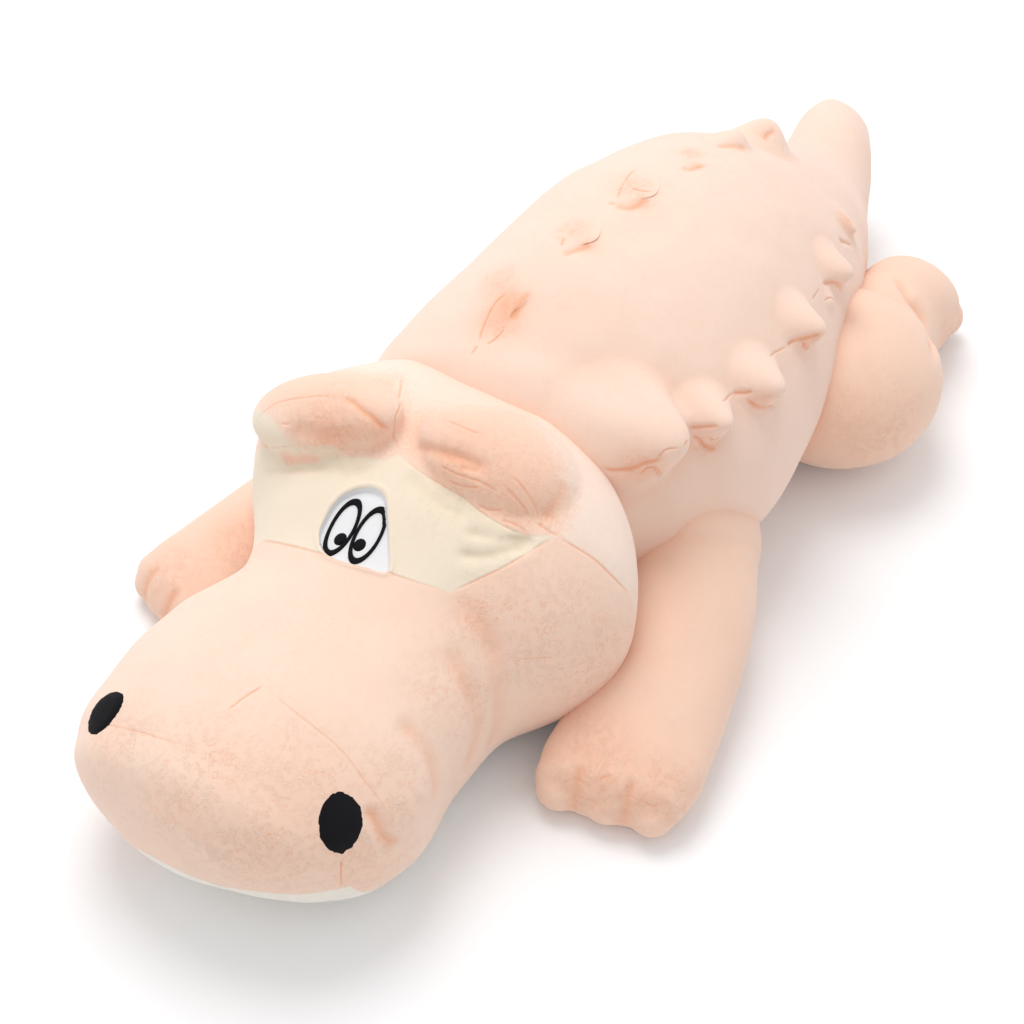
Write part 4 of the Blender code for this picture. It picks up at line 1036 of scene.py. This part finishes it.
def strokes(middle, gap):
    """Short wavy strokes: thin lines of the strand pattern, broken by a slower one."""
    off_line = maths(pile, "ABSOLUTE", maths(pile, "SUBTRACT", strands, middle))
    line = maths(pile, "SUBTRACT", 1.0, maths(pile, "DIVIDE", off_line, STROKE_WIDTH), clamp=True)
    keep = maths(pile, "MULTIPLY", maths(pile, "SUBTRACT", broken, gap), 14.0, clamp=True)
    return maths(pile, "MULTIPLY", line, keep)


dark_strokes = strokes(0.45, 0.44)
light_strokes = strokes(0.56, 0.42)
patches = noise_at(pile, place, 30.0, 3.0, 0.6)["Fac"]
patchy = maths(pile, "MULTIPLY", maths(pile, "SUBTRACT", patches, 0.38), 4.0, clamp=True)
ruffled = maths(pile, "MULTIPLY", entry.outputs["Ruffled"],
                maths(pile, "MULTIPLY_ADD", patchy, 0.50, 0.50), clamp=True)
parted = maths(pile, "MULTIPLY", dark_strokes, ruffled)
raised = maths(pile, "MULTIPLY", light_strokes, ruffled)
broad = maths(pile, "SUBTRACT", noise_at(pile, place, 9.0, 2.0)["Fac"], 0.5)
flecks = maths(pile, "SUBTRACT", noise_at(pile, place, 260.0, 1.0)["Fac"], 0.68)
flecks = maths(pile, "MULTIPLY", maths(pile, "MULTIPLY", flecks, 8.0, clamp=True),
               entry.outputs["Ruffled"])
# How far each mark draws the colour towards the deep one: parted roots, random tone, flecks
# and ruffling of the pile, and painted shade in hollows, along creases and where pieces press
# together; raised strands draw it back.
roots_and_shade = maths(pile, "MULTIPLY_ADD", parted, 0.85, maths(pile, "MULTIPLY", broad, 0.35))
for mask, amount in ((raised, -0.38), (flecks, 0.25), (entry.outputs["Ruffled"], 0.20),
                     (entry.outputs["Hollow"], 0.42)):
    roots_and_shade = maths(pile, "MULTIPLY_ADD", mask, amount, roots_and_shade)
roots_and_shade = maths(pile, "MULTIPLY_ADD", entry.outputs["Fold"], 0.65, roots_and_shade, clamp=True)
pile.links.new(mixed(pile, roots_and_shade, entry.outputs["Colour"], entry.outputs["Deep colour"]),
               leave.inputs["Colour"])
tufts = noise_at(pile, place, 1.0 / TUFT_SIZE, 2.0, 0.6)["Fac"]
height = maths(pile, "MULTIPLY_ADD", tufts, 0.16, maths(pile, "MULTIPLY", raised, 0.60))
height = maths(pile, "SUBTRACT", height, maths(pile, "MULTIPLY", parted, 0.20))
pile.links.new(height, leave.inputs["Height"])

# Cloth colours of the panels, and the deeper ones at the roots of their pile, which also serve as
# the painted shade in hollows and creases
BACK = (0.910, 0.675, 0.555)
PEACH = (0.910, 0.630, 0.490)
PEACH_ROOTS_AND_SHADE = (0.880, 0.440, 0.270)
SNOUT = (0.920, 0.690, 0.560)
# The cheek panels' cloth colour, made lighter to offset the shade on the head's sides: partly
# painted light
CHEEK_LIGHTENED = (0.935, 0.690, 0.560)
CROWN = (0.920, 0.745, 0.635)
CREAM = (0.865, 0.745, 0.595)
CREAM_ROOTS_AND_SHADE = (0.800, 0.670, 0.500)
PALE = (0.900, 0.850, 0.770)
FELT = (0.820, 0.810, 0.820)


def dull(name, roughness, gloss):
    """A new material with a dull surface, its tree and its shader."""
    made = bpy.data.materials.new(name)
    made.use_nodes = True
    shader = made.node_tree.nodes["Principled BSDF"]
    shader.inputs["Roughness"].default_value = roughness
    shader.inputs["Specular IOR Level"].default_value = gloss
    return made, made.node_tree, shader


def plush(name, colour, roots_and_shade_colour):
    """A plush material in one colour, its tree and its pile node."""
    made, tree, shader = dull(name, 0.95, 0.12)
    shader.inputs["Sheen Weight"].default_value = 0.30
    shader.inputs["Sheen Roughness"].default_value = 0.55
    cloth = tree.nodes.new("ShaderNodeGroup")
    cloth.node_tree = pile
    cloth.inputs["Colour"].default_value = (*colour, 1.0)
    cloth.inputs["Deep colour"].default_value = (*roots_and_shade_colour, 1.0)
    for socket_name in ("Ruffled", "Hollow", "Fold"):
        tree.links.new(written(tree, socket_name.lower()), cloth.inputs[socket_name])
    relief = node(tree, "ShaderNodeBump", Distance=PILE_RELIEF, Strength=0.5)
    tree.links.new(cloth.outputs["Height"], relief.inputs["Height"])
    tree.links.new(relief.outputs["Normal"], shader.inputs["Normal"])
    tree.links.new(cloth.outputs["Colour"], shader.inputs["Base Color"])
    return made, tree, cloth


PANEL_LAP = 0.0009
CREAM_LAP = 0.0007
BROW_LAP = 0.0100
FELT_LAP = 0.0004
FUZZ_PER_METRE = 420.0


def panel_share(tree, gap_name, lap=PANEL_LAP):
    """How far a panel covers a place: 0 outside its outline, 1 inside, ragged by the pile."""
    place = node(tree, "ShaderNodeTexCoord").outputs["Object"]
    fuzz = noise_at(tree, place, FUZZ_PER_METRE)["Fac"]
    ragged = maths(tree, "MULTIPLY", maths(tree, "SUBTRACT", fuzz, 0.5), lap * 4)
    shifted = maths(tree, "ADD", written(tree, gap_name), ragged)
    return maths(tree, "ADD", maths(tree, "DIVIDE", shifted, lap * 2), 0.5, clamp=True)


peach_plush = plush("peach_plush", PEACH, PEACH_ROOTS_AND_SHADE)[0]
body_plush, tree, cloth = plush("body_plush", BACK, PEACH_ROOTS_AND_SHADE)
tree.links.new(mixed(tree, panel_share(tree, "belly_gap"), BACK, PALE), cloth.inputs["Colour"])
head_plush, tree, cloth = plush("head_plush", CROWN, PEACH_ROOTS_AND_SHADE)
# Each panel's deep colour stands for its pile's roots and for the painted shade on it
colour, roots_and_shade_colour = CROWN, PEACH_ROOTS_AND_SHADE
for gap_name, panel_colour, panel_roots_and_shade, lap in (
        ("brow_left_gap", PEACH, PEACH_ROOTS_AND_SHADE, BROW_LAP),
        ("brow_right_gap", PEACH, PEACH_ROOTS_AND_SHADE, BROW_LAP),
        ("snout_gap", SNOUT, PEACH_ROOTS_AND_SHADE, PANEL_LAP), ("cheek_gap", CHEEK_LIGHTENED, PEACH_ROOTS_AND_SHADE, PANEL_LAP),
        ("far_cheek_gap", CHEEK_LIGHTENED, PEACH_ROOTS_AND_SHADE, PANEL_LAP),
        ("cream_gap", CREAM, CREAM_ROOTS_AND_SHADE, CREAM_LAP), ("chin_gap", PALE, CREAM_ROOTS_AND_SHADE, PANEL_LAP),
        ("window_gap", FELT, FELT, FELT_LAP)):
    share = panel_share(tree, gap_name, lap)
    colour = mixed(tree, share, colour, panel_colour)
    roots_and_shade_colour = mixed(tree, share, roots_and_shade_colour, panel_roots_and_shade)
tree.links.new(colour, cloth.inputs["Colour"])
tree.links.new(roots_and_shade_colour, cloth.inputs["Deep colour"])
felt_share = panel_share(tree, "window_gap", FELT_LAP)
tree.links.new(maths(tree, "MULTIPLY", written(tree, "ruffled"),
                     maths(tree, "SUBTRACT", 1.0, felt_share)), cloth.inputs["Ruffled"])


def dress(piece, material, body, nodes):
    """Finishes a stuffed skin: its cloth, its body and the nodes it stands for."""
    piece.data.materials.clear()
    piece.data.materials.append(material)
    piece.data.shade_smooth()
    if isinstance(body, str):
        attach(piece, body)
    else:
        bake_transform(piece)
    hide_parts(*nodes)


# Neck. The body and head skins meet and overlap at the neck seam. The bend across the seam is
# worked out here but not applied, so both skins stay where they stand.
NECK_BEND = 0.050
NECK_OVERLAP = 0.014
across_neck = Vector((-math.tan(HEAD_YAW), 1.0, -NECK_LEAN_SHARE)).normalized()
body_nodes = [name for name in frame["nodes"] if name.startswith("spine_")]
body_nodes += ["body_cover", "belly_panel", "body_stuffing", "neck_stuffing"]
dress(body_skin, body_plush,
      ("body", "neck", neck + across_neck * (NECK_BEND + NECK_OVERLAP),
       neck + across_neck * NECK_OVERLAP), body_nodes)
dress(head_skin, head_plush,
      ("neck", "head", neck - across_neck * NECK_OVERLAP,
       neck - across_neck * (NECK_BEND + NECK_OVERLAP)),
      ("head_cover", "head_stuffing", "eye_panel", "chin_panel", "brow_left", "brow_right",
       "eye_white"))
for leg_name, leg_skin in leg_skins.items():
    dress(leg_skin, peach_plush, leg_name, (leg_name + "_cover", leg_name + "_stuffing"))

# Nostrils and eyes. They are satin stitch in black thread: dense parallel threads that stand
# a little proud of the plush, with a ragged edge.
THREAD = (0.006, 0.006, 0.007)
THREAD_LIT = (0.014, 0.014, 0.016)
THREADS_PER_METRE = 420.0
THREAD_RELIEF = 0.0005
THREAD_RISE = 0.0016
RAGGED_EDGE = 0.0008
NOSTRIL_EDGE = ((337, 791), (349, 794), (359, 803), (363, 813), (363, 827), (356, 844),
                (345, 854), (332, 853), (321, 842), (318, 828), (319, 814), (325, 800))
NOSTRIL_SHIFT = 0.001
NOSTRIL_FAR_FORWARD = 0.006
EYE_WIDTH = 0.0220
EYE_HEIGHT = 0.0470
EYE_LINE = 0.0027
EYE_SPACING = 0.0224
EYE_SHIFT = Vector((-0.0015, -0.0020))
PUPIL_WIDTH = 0.0105
WINDOW_CLEARANCE = 0.0014

satin, tree, shader = dull("black_satin_stitch", 0.60, 0.08)
threads = node(tree, "ShaderNodeTexWave", wave_type="BANDS", bands_direction="X",
               Scale=THREADS_PER_METRE, Distortion=1.2, Detail=2.0)
tree.links.new(node(tree, "ShaderNodeTexCoord").outputs["Object"], threads.inputs["Vector"])
relief = node(tree, "ShaderNodeBump", Distance=THREAD_RELIEF, Strength=0.7)
tree.links.new(threads.outputs["Fac"], relief.inputs["Height"])
tree.links.new(relief.outputs["Normal"], shader.inputs["Normal"])
tree.links.new(mixed(tree, threads.outputs["Fac"], THREAD, THREAD_LIT),
               shader.inputs["Base Color"])


def kept_in_window(corner, inset):
    """A corner drawn in towards the window's middle until it is clear of the window's edge."""
    for step in range(60):
        plan = np.array([(corner.x, corner.y)])
        if outline_distance(plan, window_outline)[0] > inset:
            break
        corner = corner + (window_middle - corner) * 0.03
    return corner


def stitched_patch(name, outline, rings=8, hole=0.0, line=None):
    """A patch of stitches over the skin, inside an outline in the head's own frame."""
    shape = bmesh.new()
    middle = sum(outline, Vector((0.0, 0.0))) / len(outline)
    loops = []
    for ring in range(rings + 1):
        inward = ring / rings
        share = hole + (1.0 - hole) * (1.0 - inward)
        edge = inward if hole == 0.0 else min(inward, 1.0 - inward) * 2
        rise = THREAD_RISE * (min(1.0, edge * 3.0) ** 0.6 * 1.2 - 0.2)
        loop = []
        for corner in outline:
            corner = middle + (corner - middle) * max(share, 0.02)
            if line is not None:
                corner = kept_in_window(corner, WINDOW_CLEARANCE + line * inward)
            x, y = corner
            above = head_placing @ Vector((x, y, HEAD_HEIGHT * 1.4))
            hit, normal = stitch_tree.ray_cast(above, Vector((0.0, 0.0, -1.0)))[:2]
            if hit is None:
                beside = above - Vector((0.0, 0.0, HEAD_HEIGHT))
                hit, normal = stitch_tree.find_nearest(beside)[:2]
            loop.append(shape.verts.new(hit + normal * rise))
        loops.append(loop)
    for near, far in zip(loops, loops[1:]):
        for index in range(len(outline)):
            after = (index + 1) % len(outline)
            shape.faces.new((near[index], near[after], far[after], far[index]))
    if hole == 0.0:
        shape.faces.new(loops[-1])
    bmesh.ops.recalc_face_normals(shape, faces=shape.faces)
    made = object_from(name, shape)
    if made.data.polygons[0].normal.z < 0.0:
        made.data.flip_normals()
    made.data.shade_smooth()
    made.data.materials.append(satin)
    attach(made, "head")
    return made


def oval(centre, half_x, half_y, count=64):
    """An oval outline in the head's own frame."""
    return [Vector((centre.x + math.cos(2 * math.pi * index / count) * half_x,
                    centre.y + math.sin(2 * math.pi * index / count) * half_y))
            for index in range(count)]


stitch_tree = tree_of(head_skin)
nostril_outline = rounded(plan_outline(NOSTRIL_EDGE), 6)
for side_name, side in (("left", 1.0), ("right", -1.0)):
    forward = NOSTRIL_FAR_FORWARD if side < 0.0 else 0.0
    outline = [Vector((NOSTRIL_SHIFT + side * (corner.x - NOSTRIL_SHIFT), corner.y - forward))
               for corner in nostril_outline]
    ragged = [corner + Vector((noise.noise(corner.to_3d() * 400.0),
                               noise.noise(corner.to_3d() * 430.0))) * RAGGED_EDGE
              for corner in outline]
    nostril = stitched_patch("nostril_" + side_name + "_stitch", ragged)
    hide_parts("nostril_" + side_name)
    centre = window_middle + EYE_SHIFT + Vector((side * EYE_SPACING / 2, 0.0))
    eye_ring = stitched_patch("eye_ring_" + side_name + "_stitch",
                              oval(centre, EYE_WIDTH / 2, EYE_HEIGHT / 2), 6,
                              hole=1.0 - 2 * EYE_LINE / EYE_WIDTH, line=EYE_LINE)
    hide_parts("eye_ring_" + side_name)
    pupil = stitched_patch("pupil_" + side_name + "_stitch",
                           oval(centre - Vector((side * EYE_LINE, EYE_LINE * 3)),
                                PUPIL_WIDTH / 2, PUPIL_WIDTH / 2, 40), 4)
    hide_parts("pupil_" + side_name)

# Floor and light. A white sheet under the toy, a wide soft light from behind its right side,
# and an even pale surround.
FLOOR_REACH = 6.0
FLOOR_WHITE = (0.93, 0.93, 0.93, 1.0)
FLOOR_GLOW = (0.03, 0.03, 0.034, 1.0)
floor_shape = bmesh.new()
bmesh.ops.create_grid(floor_shape, x_segments=1, y_segments=1, size=FLOOR_REACH)
floor = object_from("floor", floor_shape)
white, tree, shader = dull("white_sheet", 0.9, 0.1)
shader.inputs["Base Color"].default_value = FLOOR_WHITE
tree.links.new(node(tree, "ShaderNodeLightPath").outputs["Is Camera Ray"],
               shader.inputs["Emission Strength"])
shader.inputs["Emission Color"].default_value = FLOOR_GLOW
floor.data.materials.append(white)

# The surround is brighter overhead and to the crocodile's right, and white where it is seen
SKY_COLOUR = (0.985, 0.99, 1.0, 1.0)
SKY_BRIGHT_SIDE = Vector((-0.38, 0.22, 0.90)).normalized()
SKY_SWING = 0.18
SKY_LEVEL = 0.70
world = bpy.data.worlds.new("pale_surround")
world.use_nodes = True
tree = world.node_tree
sky = tree.nodes["Background"]
sky.inputs["Color"].default_value = SKY_COLOUR
towards_light = node(tree, "ShaderNodeVectorMath", operation="DOT_PRODUCT")
tree.links.new(node(tree, "ShaderNodeTexCoord").outputs["Generated"], towards_light.inputs[0])
towards_light.inputs[1].default_value = SKY_BRIGHT_SIDE
glow = maths(tree, "MULTIPLY_ADD", towards_light.outputs["Value"], SKY_SWING, SKY_LEVEL)
seen = node(tree, "ShaderNodeLightPath").outputs["Is Camera Ray"]
kept = maths(tree, "MULTIPLY", glow, maths(tree, "SUBTRACT", 1.0, seen))
tree.links.new(maths(tree, "ADD", kept, seen), sky.inputs["Strength"])
bpy.context.scene.world = world

SOFT_LIGHT_PLACE = Vector((-1.0, 0.5, 2.9))
SOFT_LIGHT_WATTS = 42.0
SOFT_LIGHT_WIDTH = 1.8
soft_data = bpy.data.lights.new("soft_light", "AREA")
soft_data.energy = SOFT_LIGHT_WATTS
soft_data.shape = "DISK"
soft_data.size = SOFT_LIGHT_WIDTH
soft_light = bpy.data.objects.new("soft_light", soft_data)
soft_light.location = SOFT_LIGHT_PLACE
soft_light.rotation_euler = (SOFT_LIGHT_PLACE - CAMERA_AIM).to_track_quat("Z", "Y").to_euler()
bpy.context.scene.collection.objects.link(soft_light)

bpy.context.scene.view_settings.view_transform = "Standard"
